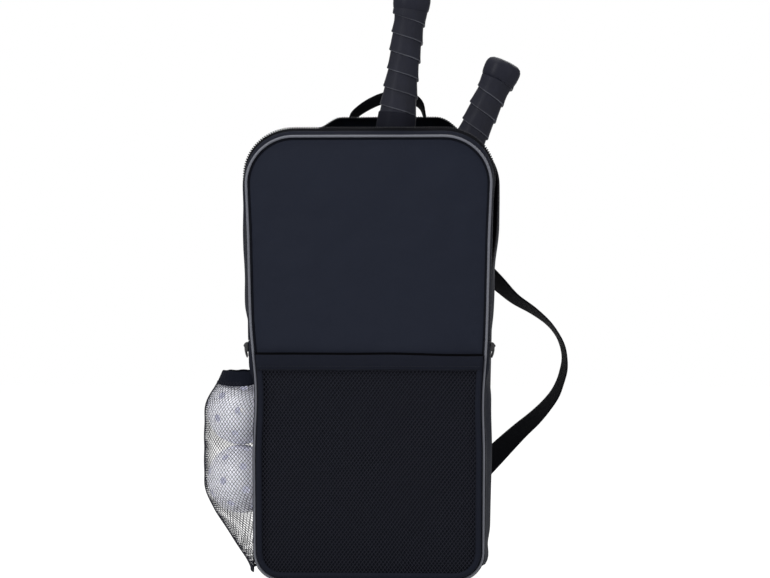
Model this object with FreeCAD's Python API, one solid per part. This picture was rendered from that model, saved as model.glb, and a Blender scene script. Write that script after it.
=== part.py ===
import FreeCAD, Part
import math
import os

from FreeCAD import Vector

# A pickleball set bag that stands upright, in millimetres.
# +Z is up, the front faces -Y, +X is to the right, and the origin is the middle of the underside.

# Bag body
BAG_DEPTH = 96.0            # front cloth to back cloth
HALF_WIDTH_FOOT = 123.5     # half width at the underside
HALF_WIDTH_TOP = 134.2      # half width at the height of the front
FRONT_TOP = 477.0           # height of the front panel
BACK_TOP = 487.0            # height of the back panel
FRONT_CORNER = 53.0         # top corner radius of the front
BACK_CORNER = 60.0          # top corner radius of the back
FOOT_CORNER = 32.0          # bottom corner radius
CLOTH = 2.0                 # lined cloth of panels
BACK_PAD = 5.0              # padded back panel
GUSSET_CLOTH = 1.6          # gusset strips round the mouth
SEAM_GAP = 0.3              # clearance between soft pieces sewn together

# Fold where the opened front tips forward
FOLD_Z = 257.0
PIPING_END_GAP = 6.0        # each piping ends this far from the fold

# Piping
PIPING_RADIUS = 2.0

# Zip round the mouth
FRONT_STRIP = 5.0           # front gusset strip, front cloth to tape
TAPE_WIDTH = 4.0
TAPE_CLOTH = 1.0
TOOTH_REACH = 2.0           # tooth length across the tape edge
TOOTH_HEIGHT = 2.4
TOOTH_WIDTH = 3.4
TOOTH_PITCH = 9.0
ROW_GAP = 2.0               # free space between the two rows of teeth
MOUTH_REAR_Y = 28.0         # rear gusset edge at the top of the mouth
ZIP_CLOSED_Z = 320.0        # both rows run side by side up to here
ZIP_OPEN_Z = 415.0          # the rear row has drawn back fully from here
ZIP_END_Z = 236.0           # lower end of the tapes
SIDE_FLARE = 5.0            # how far the open rear edge stands out at the sides
SIDE_FLARE_RUN = 60.0       # height over which it comes to that
TOP_FLARE = 12.5            # how far it stands up over the haul loop
TOP_FLARE_RUN = 28.0        # width over which it comes to that
MID_BULGE = 7.0             # belly of the rear gusset
MID_BULGE_RUN = 45.0        # height over which it comes to that
FRONT_FLARE = 9.0           # how far the front row stands up at the top
FRONT_FLARE_RUN = 75.0      # height over which it comes to that
GUSSET_STEP = 8.0           # distance between sections of the gussets

# Sliders and pullers
SLIDER_LENGTH = 11.0
SLIDER_WIDTH = 10.4
SLIDER_PLATE = 1.2
SLIDER_GAP = 0.4            # clearance over the teeth and the tape
SLIDER_BELOW_FOLD = 1.5     # the slider's top at rest lies this far under the fold
PULLER_LENGTH = 16.0
PULLER_WIDTH = 5.0
PULLER_PLATE = 1.2
PIN_RADIUS = 0.7
PIN_CLEARANCE = 0.08

# Front mesh pocket
POCKET_TOP_Z = 242.0
POCKET_DEPTH = 7.0
POCKET_HEM = 13.0
MESH_THICKNESS = 1.0
MESH_COLUMNS = 9
MESH_ROWS = 10
MESH_STRAND = 3.4

# Balls and side mesh pocket
BALL_RADIUS = 37.0
BALL_WALL = 1.5
BALL_HOLE_RADIUS = 4.2
BALL_STANDOFF = 13.5        # ball centre beyond the side panel
UPPER_BALL_Z = 180.5
BALL_GAP = 0.4
BALL_CLEARANCE = 2.0        # ball to the hollow in the side panel
BALL_EXIT_TILT = 30.0       # the balls leave upwards and outwards, degrees from upright
POCKET_HALF_DEPTH = 40.0
POCKET_FOOT_Z = 12.0        # lower end of the net
POCKET_FOOT_REACH = 3.0     # how far it stands out there
NET_STANDOFF = 1.7          # net's outside beyond the balls
NET_THICKNESS = 0.8
BINDING_HEIGHT = 13.5
BINDING_THICKNESS = 2.2
BINDING_STEP = 0.6          # how far the binding stands out from the net
BINDING_DRAW = 4.5          # how far its upper edge is drawn in

# Paddles
FACE_LENGTH = 250.0
FACE_HALF_WIDTH = 83.0
FACE_THICKNESS = 12.0
THROAT_HALF_WIDTH = 15.0
SHOULDER_HALF_WIDTH = 38.0
SHOULDER_DROP = 10.0
WIDEST_DROP = 115.0
FACE_FOOT_RADIUS = 60.0
GUARD_WIDTH = 7.0
GUARD_WALL = 1.0
GUARD_CLEARANCE = 0.15
HANDLE_LENGTH = 150.0
HANDLE_HALF_WIDTH = 15.8
HANDLE_FLATTEN = 0.79       # grip depth over grip width
WRAP_THIN = 0.7
WRAP_THICK = 2.5
WRAP_PITCH = 19.6
WRAP_GAP = 0.6
COLLAR_LENGTH = 14.0
COLLAR_WALL = 4.6
CAP_LENGTH = 12.0
CAP_WALL = 4.2
FRONT_THROAT_X = 27.0
FRONT_THROAT_Z = 481.0
FRONT_PADDLE_TILT = 7.3
REAR_THROAT_Z = 419.0
REAR_PADDLE_TILT = 25.0
REAR_PADDLE_GAP = 21.7      # widest place of the rear face to the side of the bag
MOUTH_CLEARANCE = 1.0       # collar to zip row
PADDLE_GAP = 0.8            # collar of one paddle to face of the other

# Folded net
NET_CLEARANCE = 0.4
NET_TIE_WIDTH = 25.0
NET_TIE_THICKNESS = 1.5
NET_TIE_Z = 95.0

# Haul loop
LOOP_LEFT_X = -24.0
LOOP_RIGHT_X = 58.0
LOOP_HEIGHT = 27.0
LOOP_WIDTH = 14.0
LOOP_THICKNESS = 2.4
LOOP_BEND = 6.0
LOOP_MARGIN = 10.0          # rear edge is at its full height this far beyond the loop

# Shoulder strap
STRAP_WIDTH = 25.0
STRAP_THICKNESS = 1.8
STRAP_UPPER_X = 62.0
STRAP_UPPER_Z = 381.0
STRAP_LOWER_X = 52.0
STRAP_LOWER_Z = 44.0
STRAP_OUT_X = 210.0         # corners of the strap's run, where it stands out most
STRAP_OUT_UPPER_Z = 256.0
STRAP_OUT_LOWER_Z = 224.0
STRAP_BEND = 27.0
STRAP_ROLL = 76.0           # degrees, flat on the back to edge on
STRAP_SECTIONS = 26
PATCH_LENGTH = 34.0
PATCH_THICKNESS = 1.6
PATCH_SETBACK = 11.5        # end of the strap's middle line to its patch

# Places that follow from the sizes
FRONT_Y = -BAG_DEPTH / 2
BACK_Y = BAG_DEPTH / 2
INNER_FRONT_Y = FRONT_Y + CLOTH
INNER_BACK_Y = BACK_Y - BACK_PAD
FRONT_TAPE_Y = INNER_FRONT_Y + FRONT_STRIP
FRONT_TEETH_Y = FRONT_TAPE_Y + TAPE_WIDTH
FRONT_ROW_END_Y = FRONT_TEETH_Y + TOOTH_REACH
REAR_ROW_END_Y = FRONT_ROW_END_Y + ROW_GAP
REAR_TEETH_Y = REAR_ROW_END_Y + TOOTH_REACH
REAR_TAPE_Y = REAR_TEETH_Y + TAPE_WIDTH
ZIP_MIDDLE_Y = (FRONT_ROW_END_Y + REAR_ROW_END_Y) / 2
SIDE_SLOPE = (HALF_WIDTH_TOP - HALF_WIDTH_FOOT) / FRONT_TOP
SIDE_LEAN = math.atan(SIDE_SLOPE)
BALL_X = -(HALF_WIDTH_FOOT + SIDE_SLOPE * UPPER_BALL_Z + BALL_STANDOFF)
COLLAR_HALF_DEPTH = (HANDLE_HALF_WIDTH + COLLAR_WALL) * HANDLE_FLATTEN
FRONT_PADDLE_Y = FRONT_ROW_END_Y + MOUTH_CLEARANCE + COLLAR_HALF_DEPTH
REAR_PADDLE_Y = FRONT_PADDLE_Y + COLLAR_HALF_DEPTH + PADDLE_GAP + FACE_THICKNESS / 2
LOWER_BALL_Z = UPPER_BALL_Z - 2 * BALL_RADIUS - BALL_GAP
FAR = 1000.0                # longer than anything here, for trimming

# Sides of round forms
ROUND_SIDES = 20
BALL_SIDES = 16
HOLE_SIDES = 6
BALL_ROW = 21.0             # degrees of latitude between the rings of a ball
FLATNESS = 1e-8             # largest distance out of a plane for a flat face
PIPING_SIDES = 6
WRAP_SIDES = 12
POCKET_FACETS = 12
FACE_CHORDS = 6             # chords in each rounded corner of a paddle face


def ramp(value, low, high):
    """Rise smoothly from 0 at low to 1 at high."""
    share = min(1.0, max(0.0, (value - low) / (high - low)))
    return share * share * (3.0 - 2.0 * share)


def blend(low, high, share):
    return low + (high - low) * share


def save(name, shape):
    shape.exportStep(os.path.join("parts", name + ".step"))


def mirrored(shape):
    return shape.mirror(Vector(0, 0, 0), Vector(1, 0, 0))


def corner_arc(before, here, after, radius):
    """Start, middle and end of the arc that rounds a corner."""
    back = (before - here).normalize()
    ahead = (after - here).normalize()
    half = back.getAngle(ahead) / 2
    reach = radius / math.tan(half)
    inward = (back + ahead).normalize()
    middle = here + inward * (radius / math.sin(half) - radius)
    return here + back * reach, middle, here + ahead * reach


def run_edges(corners, y, closed):
    """Lines and tangent arcs through (x, z, radius) corners at one y."""
    points = [Vector(x, y, z) for x, z, radius in corners]
    count = len(points)
    stops = []
    for i, corner in enumerate(corners):
        end_point = not closed and i in (0, count - 1)
        if corner[2] == 0 or end_point:
            stops.append((points[i], None, points[i]))
            continue
        after = points[(i + 1) % count]
        stops.append(corner_arc(points[i - 1], points[i], after, corner[2]))
    edges = []
    for i, (start, middle, end) in enumerate(stops):
        if middle is not None:
            edges.append(Part.Arc(start, middle, end).toShape())
        if i + 1 < count or closed:
            following = stops[(i + 1) % count][0]
            if (following - end).Length > 1e-6:
                edges.append(Part.makeLine(end, following))
    return edges


def slab(corners, y_front, y_back, chords=0):
    """Flat piece with rounded corners, from one y to another, each arc in a few chords if asked."""
    edges = run_edges(corners, y_front, True)
    if chords:
        points = []
        for edge in edges:
            straight = edge.Length < 1e-6 or isinstance(edge.Curve, Part.Line)
            points += edge.discretize(Number=2 if straight else chords + 1)[:-1]
        outline_wire = Part.makePolygon(points + points[:1])
    else:
        outline_wire = Part.Wire(edges)
    return Part.Face(outline_wire).extrude(Vector(0, y_back - y_front, 0))


def between(shape, z_low, z_high):
    """The part of a shape between two heights."""
    box = Part.makeBox(2 * FAR, 2 * FAR, z_high - z_low, Vector(-FAR, -FAR, z_low))
    return shape.common(box)


def half_width(z, inset=0.0):
    """Half width of the bag at a height, drawn in square to its side."""
    return HALF_WIDTH_FOOT + SIDE_SLOPE * z - inset / math.cos(SIDE_LEAN)


def outline(top, corner, inset=0.0):
    """Corners of the tapered bag seen from the front."""
    low, high = inset, top - inset
    foot, head = FOOT_CORNER - inset, corner - inset
    right = [(half_width(low, inset), low, foot), (half_width(high, inset), high, head)]
    left = [(-x, z, radius) for x, z, radius in reversed(right)]
    return right + left


def rim(top, corner, spacing):
    """(x, z, nx, nz) stations from the right fold over the top to the left fold."""
    centre_z = top - corner
    centre_x = half_width(centre_z, corner)
    side_end = centre_z - corner * math.sin(SIDE_LEAN)
    side_steps = max(2, round((side_end - FOLD_Z - SEAM_GAP) / spacing))
    corner_steps = max(4, round(corner * math.pi / 2 / spacing))
    top_steps = max(2, round(2 * centre_x / spacing))
    right = []
    for i in range(side_steps):
        z = blend(FOLD_Z + SEAM_GAP, side_end, i / side_steps)
        right.append((half_width(z), z, math.cos(SIDE_LEAN), -math.sin(SIDE_LEAN)))
    for i in range(corner_steps + 1):
        angle = blend(-SIDE_LEAN, math.pi / 2, i / corner_steps)
        cosine, sine = math.cos(angle), math.sin(angle)
        right.append((centre_x + corner * cosine, centre_z + corner * sine, cosine, sine))
    middle = []
    for i in range(1, top_steps):
        middle.append((blend(centre_x, -centre_x, i / top_steps), top, 0.0, 1.0))
    left = [(-x, z, -nx, nz) for x, z, nx, nz in reversed(right)]
    return right + middle + left


def strip(stations, profile, thickness, centred=False):
    """Cloth strip round the mouth. profile(x, z) gives (y, outward offset) points."""
    rings = []
    for x, z, nx, nz in stations:
        outer, inner = [], []
        for y, offset in profile(x, z):
            out = offset + (thickness - GUSSET_CLOTH) / 2 if centred else offset
            outer.append(Vector(x + nx * out, y, z + nz * out))
            inner.append(Vector(x + nx * (out - thickness), y, z + nz * (out - thickness)))
        rings.append(outer + inner[::-1])
    return skin(rings)


def front_offset(z, y):
    """How far the front strip stands out at a depth."""
    share = (y - INNER_FRONT_Y) / (FRONT_ROW_END_Y - INNER_FRONT_Y)
    return FRONT_FLARE * share * ramp(z, FRONT_TOP - FRONT_FLARE_RUN, FRONT_TOP)


def rear_edge_y(z):
    """Depth of the rear gusset's free edge at a height."""
    return blend(REAR_TAPE_Y, MOUTH_REAR_Y, ramp(z, ZIP_CLOSED_Z, ZIP_OPEN_Z))


def rear_offset(x, z):
    """How far the rear gusset's free edge stands out."""
    side = SIDE_FLARE * ramp(z, ZIP_CLOSED_Z, ZIP_CLOSED_Z + SIDE_FLARE_RUN)
    side *= 1.0 - ramp(z, BACK_TOP - BACK_CORNER, BACK_TOP)
    left, right = LOOP_LEFT_X - LOOP_MARGIN, LOOP_RIGHT_X + LOOP_MARGIN
    crown = TOP_FLARE * ramp(x, left - TOP_FLARE_RUN, left) * (1.0 - ramp(x, right, right + TOP_FLARE_RUN))
    return side + crown * ramp(z, BACK_TOP - BACK_CORNER / 3, BACK_TOP)


def teeth(stations, edge_y, offset):
    """One block for each station, its faces in line with the tape's edge."""
    blocks = []
    for x, z, nx, nz in stations:
        out = offset(x, z) - GUSSET_CLOTH / 2
        outward = Vector(nx, 0, nz) * (TOOTH_HEIGHT / 2)
        reach = Vector(0, TOOTH_REACH, 0)
        rings = []
        for side in (-TOOTH_WIDTH / 2, TOOTH_WIDTH / 2):
            end = Vector(x + nx * out - nz * side, 0, z + nz * out + nx * side)
            end.y = edge_y(end.z)
            rings.append([end - outward, end + outward, end + outward + reach, end - outward + reach])
        blocks.append(skin(rings))
    return blocks


def on_right_wall(shape):
    """Place a shape drawn at the tape's middle, z 0 at the fold and x outward, on the right side."""
    placed = shape.copy()
    placed.rotate(Vector(0, 0, 0), Vector(0, 1, 0), math.degrees(SIDE_LEAN))
    placed.translate(Vector(half_width(FOLD_Z, GUSSET_CLOTH / 2), 0, FOLD_Z))
    return placed


def wall_box(x_low, x_high, y_low, y_high, z_low, z_high):
    size = (x_high - x_low, y_high - y_low, z_high - z_low)
    return Part.makeBox(*size, Vector(x_low, y_low, z_low))


def zip_notch():
    """Space left in each side panel for the closed lower end of the zip."""
    return on_right_wall(wall_box(-9.0, 9.0, FRONT_TAPE_Y, REAR_TAPE_Y, ZIP_END_Z - FOLD_Z, 9.0))


def round_ring(centre, across, ahead, radius, sides=ROUND_SIDES):
    """Many-sided ring about a centre, spanned by two directions."""
    points = []
    for i in range(sides):
        angle = 2 * math.pi * i / sides
        points.append(centre + across * (radius * math.cos(angle)) + ahead * (radius * math.sin(angle)))
    return points


def patch(points):
    """Flat faces over three or four points: one face, or two where the four don't lie in a plane."""
    if len(points) == 4:
        normal = (points[1] - points[0]).cross(points[2] - points[0])
        off = normal.dot(points[3] - points[0])
        if abs(off) > FLATNESS * max(normal.Length, FLATNESS):
            return patch(points[:3]) + patch([points[0], points[2], points[3]])
    return [Part.Face(Part.makePolygon(points + points[:1]))]


def skin(rings):
    """Solid through rings of as many points each, with flat faces between them."""
    faces = [Part.Face(Part.makePolygon(ring + ring[:1])) for ring in (rings[0], rings[-1])]
    for low, high in zip(rings, rings[1:]):
        for i in range(len(low)):
            j = (i + 1) % len(low)
            faces += patch([low[i], low[j], high[j], high[i]])
    solid = Part.Solid(Part.makeShell(faces))
    if solid.Volume < 0:
        solid.reverse()
    return solid


def dome(radius, centre, low, high, sides=BALL_SIDES):
    """Rings of a ball between two latitudes in degrees."""
    rings = []
    steps = round((high - low) / BALL_ROW)
    for i in range(steps + 1):
        angle = math.radians(blend(low, high, i / steps))
        place = centre + Vector(0, 0, radius * math.sin(angle))
        rings.append(round_ring(place, Vector(1, 0, 0), Vector(0, 1, 0), radius * math.cos(angle), sides))
    return rings


def exit_direction():
    tilt = math.radians(BALL_EXIT_TILT)
    return Vector(-math.sin(tilt), 0, math.cos(tilt))


def ball_path(radius):
    """Space that the balls fill and leave by: a round trough that turns outwards at its top."""
    low = Vector(BALL_X, 0, LOWER_BALL_Z)
    bend = Vector(BALL_X, 0, UPPER_BALL_Z)
    half_tilt = math.radians(BALL_EXIT_TILT / 2)
    depth = Vector(0, 1, 0)
    mitre = Vector(1, 0, math.tan(half_tilt))
    rings = dome(radius, low, -84.0, 0.0, ROUND_SIDES)
    rings.append(round_ring(bend, mitre, depth, radius))
    out = exit_direction()
    rings.append(round_ring(bend + out * 90.0, depth.cross(out), depth, radius))
    return skin(rings)


def make_back():
    save("back_panel", slab(outline(BACK_TOP, BACK_CORNER), INNER_BACK_Y, BACK_Y))


def make_lower_walls():
    outer = slab(outline(FRONT_TOP, FRONT_CORNER), INNER_FRONT_Y, INNER_BACK_Y)
    inner = slab(outline(FRONT_TOP, FRONT_CORNER, CLOTH), INNER_FRONT_Y - 1, INNER_BACK_Y + 1)
    save("bottom_panel", between(outer.cut(inner), 0.0, FOOT_CORNER))
    plain = between(outer.cut(inner), FOOT_CORNER, FOLD_Z).cut(zip_notch())
    save("side_panel_right", on_side(plain, 1))
    hollow = BALL_RADIUS + BALL_CLEARANCE
    dented = outer.cut(ball_path(hollow))
    lining = inner.cut(ball_path(hollow + CLOTH))
    left = between(dented.cut(lining), FOOT_CORNER, FOLD_Z).cut(mirrored(zip_notch()))
    save("side_panel_left", on_side(left, -1))


def on_side(shape, sign):
    """The solid of a pair that lies right (1) or left (-1) of the middle."""
    return next(solid for solid in shape.Solids if solid.CenterOfMass.x * sign > 0)


def make_front_lower():
    sheet = slab(outline(FRONT_TOP, FRONT_CORNER), FRONT_Y, INNER_FRONT_Y)
    save("front_panel_lower", between(sheet, 0.0, FOLD_Z))


def pipe(corners, y):
    """Piping bead along lines and tangent arcs."""
    path = Part.Wire(run_edges(corners, y, False))
    start = Vector(corners[0][0], y, corners[0][1])
    ahead = (Vector(corners[1][0], y, corners[1][1]) - start).normalize()
    depth = Vector(0, 1, 0)
    ring = round_ring(start, depth.cross(ahead), depth, PIPING_RADIUS, PIPING_SIDES)
    return path.makePipeShell([Part.makePolygon(ring + ring[:1])], True, False)


def upper_run(top, corner, inset, z_end):
    """Open route up one side, over the top and down the other."""
    corners = outline(top, corner, inset)
    head = corners[1:3]
    right = (half_width(z_end, inset), z_end, 0)
    left = (-right[0], z_end, 0)
    return [right] + head + [left]


def make_piping():
    inset = PIPING_RADIUS + 0.2
    y = FRONT_Y - PIPING_RADIUS - SEAM_GAP
    low_end = FOLD_Z - PIPING_END_GAP
    foot = outline(FRONT_TOP, FRONT_CORNER, inset)
    right = (half_width(low_end, inset), low_end, 0)
    left = (-right[0], low_end, 0)
    save("piping_lower", pipe([right, foot[0], foot[3], left], y))
    save("piping_upper", pipe(upper_run(FRONT_TOP, FRONT_CORNER, inset, FOLD_Z + PIPING_END_GAP), y))
    rear_y = BACK_Y + PIPING_RADIUS + SEAM_GAP
    save("piping_rear", pipe(upper_run(BACK_TOP, BACK_CORNER, inset, FOOT_CORNER + 4.0), rear_y))


def make_front_pocket():
    front = FRONT_Y - POCKET_DEPTH
    inset = 2 * PIPING_RADIUS + 0.6
    outer = outline(FRONT_TOP, FRONT_CORNER, inset)
    inner = outline(FRONT_TOP, FRONT_CORNER, inset + MESH_THICKNESS)
    mesh_back = front + MESH_THICKNESS
    frame = slab(outer, mesh_back, FRONT_Y).cut(slab(inner, mesh_back - 1, FRONT_Y + 1))
    save("pocket_side_band", between(frame, 0.0, POCKET_TOP_Z))
    hem_bottom = POCKET_TOP_Z - POCKET_HEM
    sheet = between(slab(outer, front, mesh_back), 0.0, hem_bottom)
    save("pocket_mesh", sheet.cut(Part.Compound(mesh_gaps(front, inset, hem_bottom))))
    hem = between(slab(outer, front - 0.8, mesh_back), hem_bottom, POCKET_TOP_Z)
    save("pocket_hem", hem)


def mesh_gaps(front, inset, top):
    """Diamond gaps in staggered rows over the flat pocket net."""
    border = 5.0
    width = 2 * (half_width(inset, inset) - border - FOOT_CORNER / 3)
    low = inset + border
    step_x = width / MESH_COLUMNS
    step_z = (top - border - low) / MESH_ROWS
    half_x, half_z = (step_x - MESH_STRAND) / 2, (step_z - MESH_STRAND / 2)
    gaps = []
    for row in range(MESH_ROWS - 1):
        shift = 0.5 * (row % 2)
        for column in range(MESH_COLUMNS - row % 2):
            x = -width / 2 + step_x * (column + 0.5 + shift)
            z = low + step_z * (row + 1)
            ring = [(x + half_x, z), (x, z + half_z), (x - half_x, z), (x, z - half_z)]
            points = [Vector(px, front - 1, pz) for px, pz in ring]
            face = Part.Face(Part.makePolygon(points + points[:1]))
            gaps.append(face.extrude(Vector(0, MESH_THICKNESS + 2, 0)))
    return gaps


def make_flap():
    sheet = slab(outline(FRONT_TOP, FRONT_CORNER), FRONT_Y, INNER_FRONT_Y)
    save("flap_panel", between(sheet, FOLD_Z + SEAM_GAP, FRONT_TOP + 1))
    stations = rim(FRONT_TOP, FRONT_CORNER, 2 * GUSSET_STEP)

    def gusset(x, z):
        return [(INNER_FRONT_Y, 0.0), (FRONT_TAPE_Y, front_offset(z, FRONT_TAPE_Y))]

    def tape(x, z):
        ends = (FRONT_TAPE_Y, FRONT_TEETH_Y - SEAM_GAP)
        return [(y, front_offset(z, y)) for y in ends]

    save("flap_gusset", strip(stations, gusset, GUSSET_CLOTH))
    save("zip_tape_front", strip(stations, tape, TAPE_CLOTH, True))
    row = teeth(
        rim(FRONT_TOP, FRONT_CORNER, TOOTH_PITCH)[1:-1],
        lambda z: FRONT_TEETH_Y,
        lambda x, z: front_offset(z, FRONT_TEETH_Y),
    )
    save("zip_teeth_front", Part.Compound(row))


def make_rear_gusset():
    stations = rim(BACK_TOP, BACK_CORNER, GUSSET_STEP)

    def gusset(x, z):
        edge = rear_edge_y(z)
        belly = MID_BULGE * ramp(z, FOLD_Z, FOLD_Z + MID_BULGE_RUN)
        belly *= 1.0 - ramp(z, BACK_TOP - BACK_CORNER, BACK_TOP)
        middle = (rear_offset(x, z)) / 2 + belly
        return [(INNER_BACK_Y, 0.0), (blend(INNER_BACK_Y, edge, 0.5), middle), (edge, rear_offset(x, z))]

    def tape(x, z):
        edge = rear_edge_y(z)
        offset = rear_offset(x, z)
        return [(edge, offset), (edge - TAPE_WIDTH + SEAM_GAP, offset)]

    save("rear_gusset", strip(stations, gusset, GUSSET_CLOTH))
    upper = strip(stations, tape, TAPE_CLOTH, True)
    row = teeth(
        rim(BACK_TOP, BACK_CORNER, TOOTH_PITCH)[1:-1],
        lambda z: rear_edge_y(z) - TAPE_WIDTH - TOOTH_REACH,
        rear_offset,
    )
    low = ZIP_END_Z - FOLD_Z
    half_tape = TAPE_CLOTH / 2
    half_tooth = TOOTH_HEIGHT / 2
    front_tape = wall_box(-half_tape, half_tape, FRONT_TAPE_Y, FRONT_TEETH_Y, low, 0.0)
    rear_tape = wall_box(-half_tape, half_tape, REAR_TEETH_Y, REAR_TAPE_Y, low, 0.0)
    tapes = [upper]
    for piece in (front_tape, rear_tape):
        tapes += [on_right_wall(piece), mirrored(on_right_wall(piece))]
    z = -TOOTH_WIDTH - 1.0
    while z > low:
        for y in (FRONT_TEETH_Y, REAR_ROW_END_Y):
            tooth = wall_box(-half_tooth, half_tooth, y, y + TOOTH_REACH, z, z + TOOTH_WIDTH)
            row += [on_right_wall(tooth), mirrored(on_right_wall(tooth))]
        z -= TOOTH_PITCH
    save("zip_tape_rear", Part.Compound(tapes))
    stop_top = -SLIDER_BELOW_FOLD - SLIDER_LENGTH - SEAM_GAP
    clear_row = [tooth for tooth in row if keeps_clear_of_stop(tooth, stop_top)]
    save("zip_teeth_rear", Part.Compound(clear_row))
    stop = wall_box(-1.6, 1.6, FRONT_TEETH_Y + 0.1, REAR_TEETH_Y - 0.1, stop_top - 4.0, stop_top)
    save("zip_stops", Part.Compound([on_right_wall(stop), mirrored(on_right_wall(stop))]))


def keeps_clear_of_stop(tooth, stop_top):
    """Teeth below the stop's top are left out, where the metal stop takes their place."""
    return tooth.BoundBox.ZMin > FOLD_Z + stop_top + SEAM_GAP


def slider_body():
    """Two plates, a neck between the rows, lips over the tapes and two lugs with the pin."""
    plate_in = TOOTH_HEIGHT / 2 + SLIDER_GAP
    plate_out = plate_in + SLIDER_PLATE
    half = SLIDER_WIDTH / 2
    lip_in = TAPE_CLOTH / 2 + SLIDER_GAP
    lip = TOOTH_REACH + ROW_GAP / 2 + SLIDER_GAP
    middle = ZIP_MIDDLE_Y
    pieces = []
    for side in (1, -1):
        ends = sorted((side * plate_in, side * plate_out))
        plate = wall_box(*ends, middle - half, middle + half, 0.0, SLIDER_LENGTH)
        across = [e for e in plate.Edges if abs(e.Vertexes[0].X - e.Vertexes[1].X) > 0.5]
        pieces.append(plate.makeFillet(2.2, across))
        lip_ends = sorted((side * lip_in, side * plate_in))
        for low, high in ((middle - half, middle - lip), (middle + lip, middle + half)):
            pieces.append(wall_box(*lip_ends, low, high, 2.2, SLIDER_LENGTH - 2.2))
    neck_half = ROW_GAP / 2 - SLIDER_GAP
    neck_low = SLIDER_LENGTH - 4.5
    neck = wall_box(-plate_in, plate_in, middle - neck_half, middle + neck_half, neck_low, SLIDER_LENGTH)
    pieces.append(neck)
    pin_x, pin_z = pin_place()
    for low, high in ((middle - 3.2, middle - 2.0), (middle + 2.0, middle + 3.2)):
        pieces.append(wall_box(plate_out, pin_x + 1.4, low, high, pin_z - 1.6, pin_z + 1.6))
    pin = Part.makeCylinder(PIN_RADIUS, 6.4, Vector(pin_x, middle - 3.2, pin_z), Vector(0, 1, 0))
    pieces.append(pin)
    body = pieces[0].multiFuse(pieces[1:]).removeSplitter()
    return body


def pin_place():
    """Local x and z of the puller's pin on the slider."""
    plate_out = TOOTH_HEIGHT / 2 + SLIDER_GAP + SLIDER_PLATE
    return plate_out + 2.3, SLIDER_LENGTH - 4.0


def puller_body():
    """Tab that hangs from the pin, with an eye at its top and a slot at its foot."""
    pin_x, pin_z = pin_place()
    middle = ZIP_MIDDLE_Y
    eye = Part.makeCylinder(1.7, 3.2, Vector(pin_x, middle - 1.6, pin_z), Vector(0, 1, 0))
    half = PULLER_PLATE / 2
    foot = pin_z - PULLER_LENGTH
    stem = wall_box(pin_x - half, pin_x + half, middle - 1.6, middle + 1.6, foot + 5.0, pin_z)
    tab_half = PULLER_WIDTH / 2
    tab = wall_box(pin_x - half, pin_x + half, middle - tab_half, middle + tab_half, foot, pin_z - 4.0)
    across = [e for e in tab.Edges if abs(e.Vertexes[0].X - e.Vertexes[1].X) > 0.5]
    tab = tab.makeFillet(1.4, across)
    body = eye.multiFuse([stem, tab])
    bore = Part.makeCylinder(PIN_RADIUS + PIN_CLEARANCE, 8.0, Vector(pin_x, middle - 4.0, pin_z), Vector(0, 1, 0))
    slot = wall_box(pin_x - 2, pin_x + 2, middle - 1.0, middle + 1.0, foot + 2.0, foot + 7.0)
    return body.cut(bore).cut(slot).removeSplitter()


def make_sliders():
    drop = -SLIDER_BELOW_FOLD - SLIDER_LENGTH
    for name, local in (("zip_slider", slider_body()), ("zip_puller", puller_body())):
        local.translate(Vector(0, 0, drop))
        right = on_right_wall(local)
        save(name + "_right", right)
        save(name + "_left", mirrored(right))


def side_pocket_section(z, x_out, thickness):
    """Bowed strip at one height, sewn to the side panel at both ends."""
    root = -half_width(z) - SEAM_GAP
    sag = root - x_out
    radius = (POCKET_HALF_DEPTH ** 2 + sag ** 2) / (2 * sag)
    centre = x_out + radius
    sides = []
    for size in (radius, radius - thickness):
        reach = math.sqrt(size ** 2 - (root - centre) ** 2)
        spread = math.pi - math.atan2(reach, root - centre)
        row = []
        for i in range(POCKET_FACETS + 1):
            angle = math.pi + spread * (1.0 - 2.0 * i / POCKET_FACETS)
            row.append(Vector(centre + size * math.cos(angle), size * math.sin(angle), z))
        sides.append(row)
    return sides[0] + sides[1][::-1]


def make_side_pocket():
    foot = -half_width(POCKET_FOOT_Z) - SEAM_GAP - POCKET_FOOT_REACH
    reach = BALL_X - BALL_RADIUS - NET_STANDOFF
    heights = []
    for up, out in ((0.0, 0.0), (0.106, 0.1), (0.34, 0.364), (0.51, 0.576), (0.66, 0.75), (0.83, 0.955), (0.98, 1.0)):
        heights.append((blend(POCKET_FOOT_Z, LOWER_BALL_Z, up), blend(foot, reach, out)))
    for up, back in ((0.15, 0.0), (0.53, 0.114), (0.85, 0.405)):
        heights.append((UPPER_BALL_Z + BALL_RADIUS * up, reach + BALL_RADIUS * back))
    save("side_pocket_mesh", skin([side_pocket_section(z, x, NET_THICKNESS) for z, x in heights]))
    low, out = heights[-1]
    low += SEAM_GAP
    band = [
        side_pocket_section(low, out - BINDING_STEP, BINDING_THICKNESS),
        side_pocket_section(low + BINDING_HEIGHT, out + BINDING_DRAW, BINDING_THICKNESS),
    ]
    save("side_pocket_binding", skin(band))


def ball_body():
    """Hollow ball with holes along the thirteen axes of a cube."""
    origin = Vector(0, 0, 0)
    inner = BALL_RADIUS - BALL_WALL
    shell = skin(dome(BALL_RADIUS, origin, -84.0, 84.0)).cut(skin(dome(inner, origin, -84.0, 84.0)))
    axes = []
    for x in (-1, 0, 1):
        for y in (-1, 0, 1):
            for z in (-1, 0, 1):
                if (x, y, z) > (0, 0, 0):
                    axes.append(Vector(x, y, z).normalize())
    tools = []
    reach = BALL_RADIUS + 5.0
    for axis in axes:
        aside = axis.cross(Vector(0.3, 0.5, 0.8)).normalize()
        spots = [round_ring(axis * end, aside, axis.cross(aside), BALL_HOLE_RADIUS, HOLE_SIDES) for end in (-reach, reach)]
        tools.append(skin(spots))
    drill = tools[0].multiFuse(tools[1:])
    return shell.cut(drill)


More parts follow.
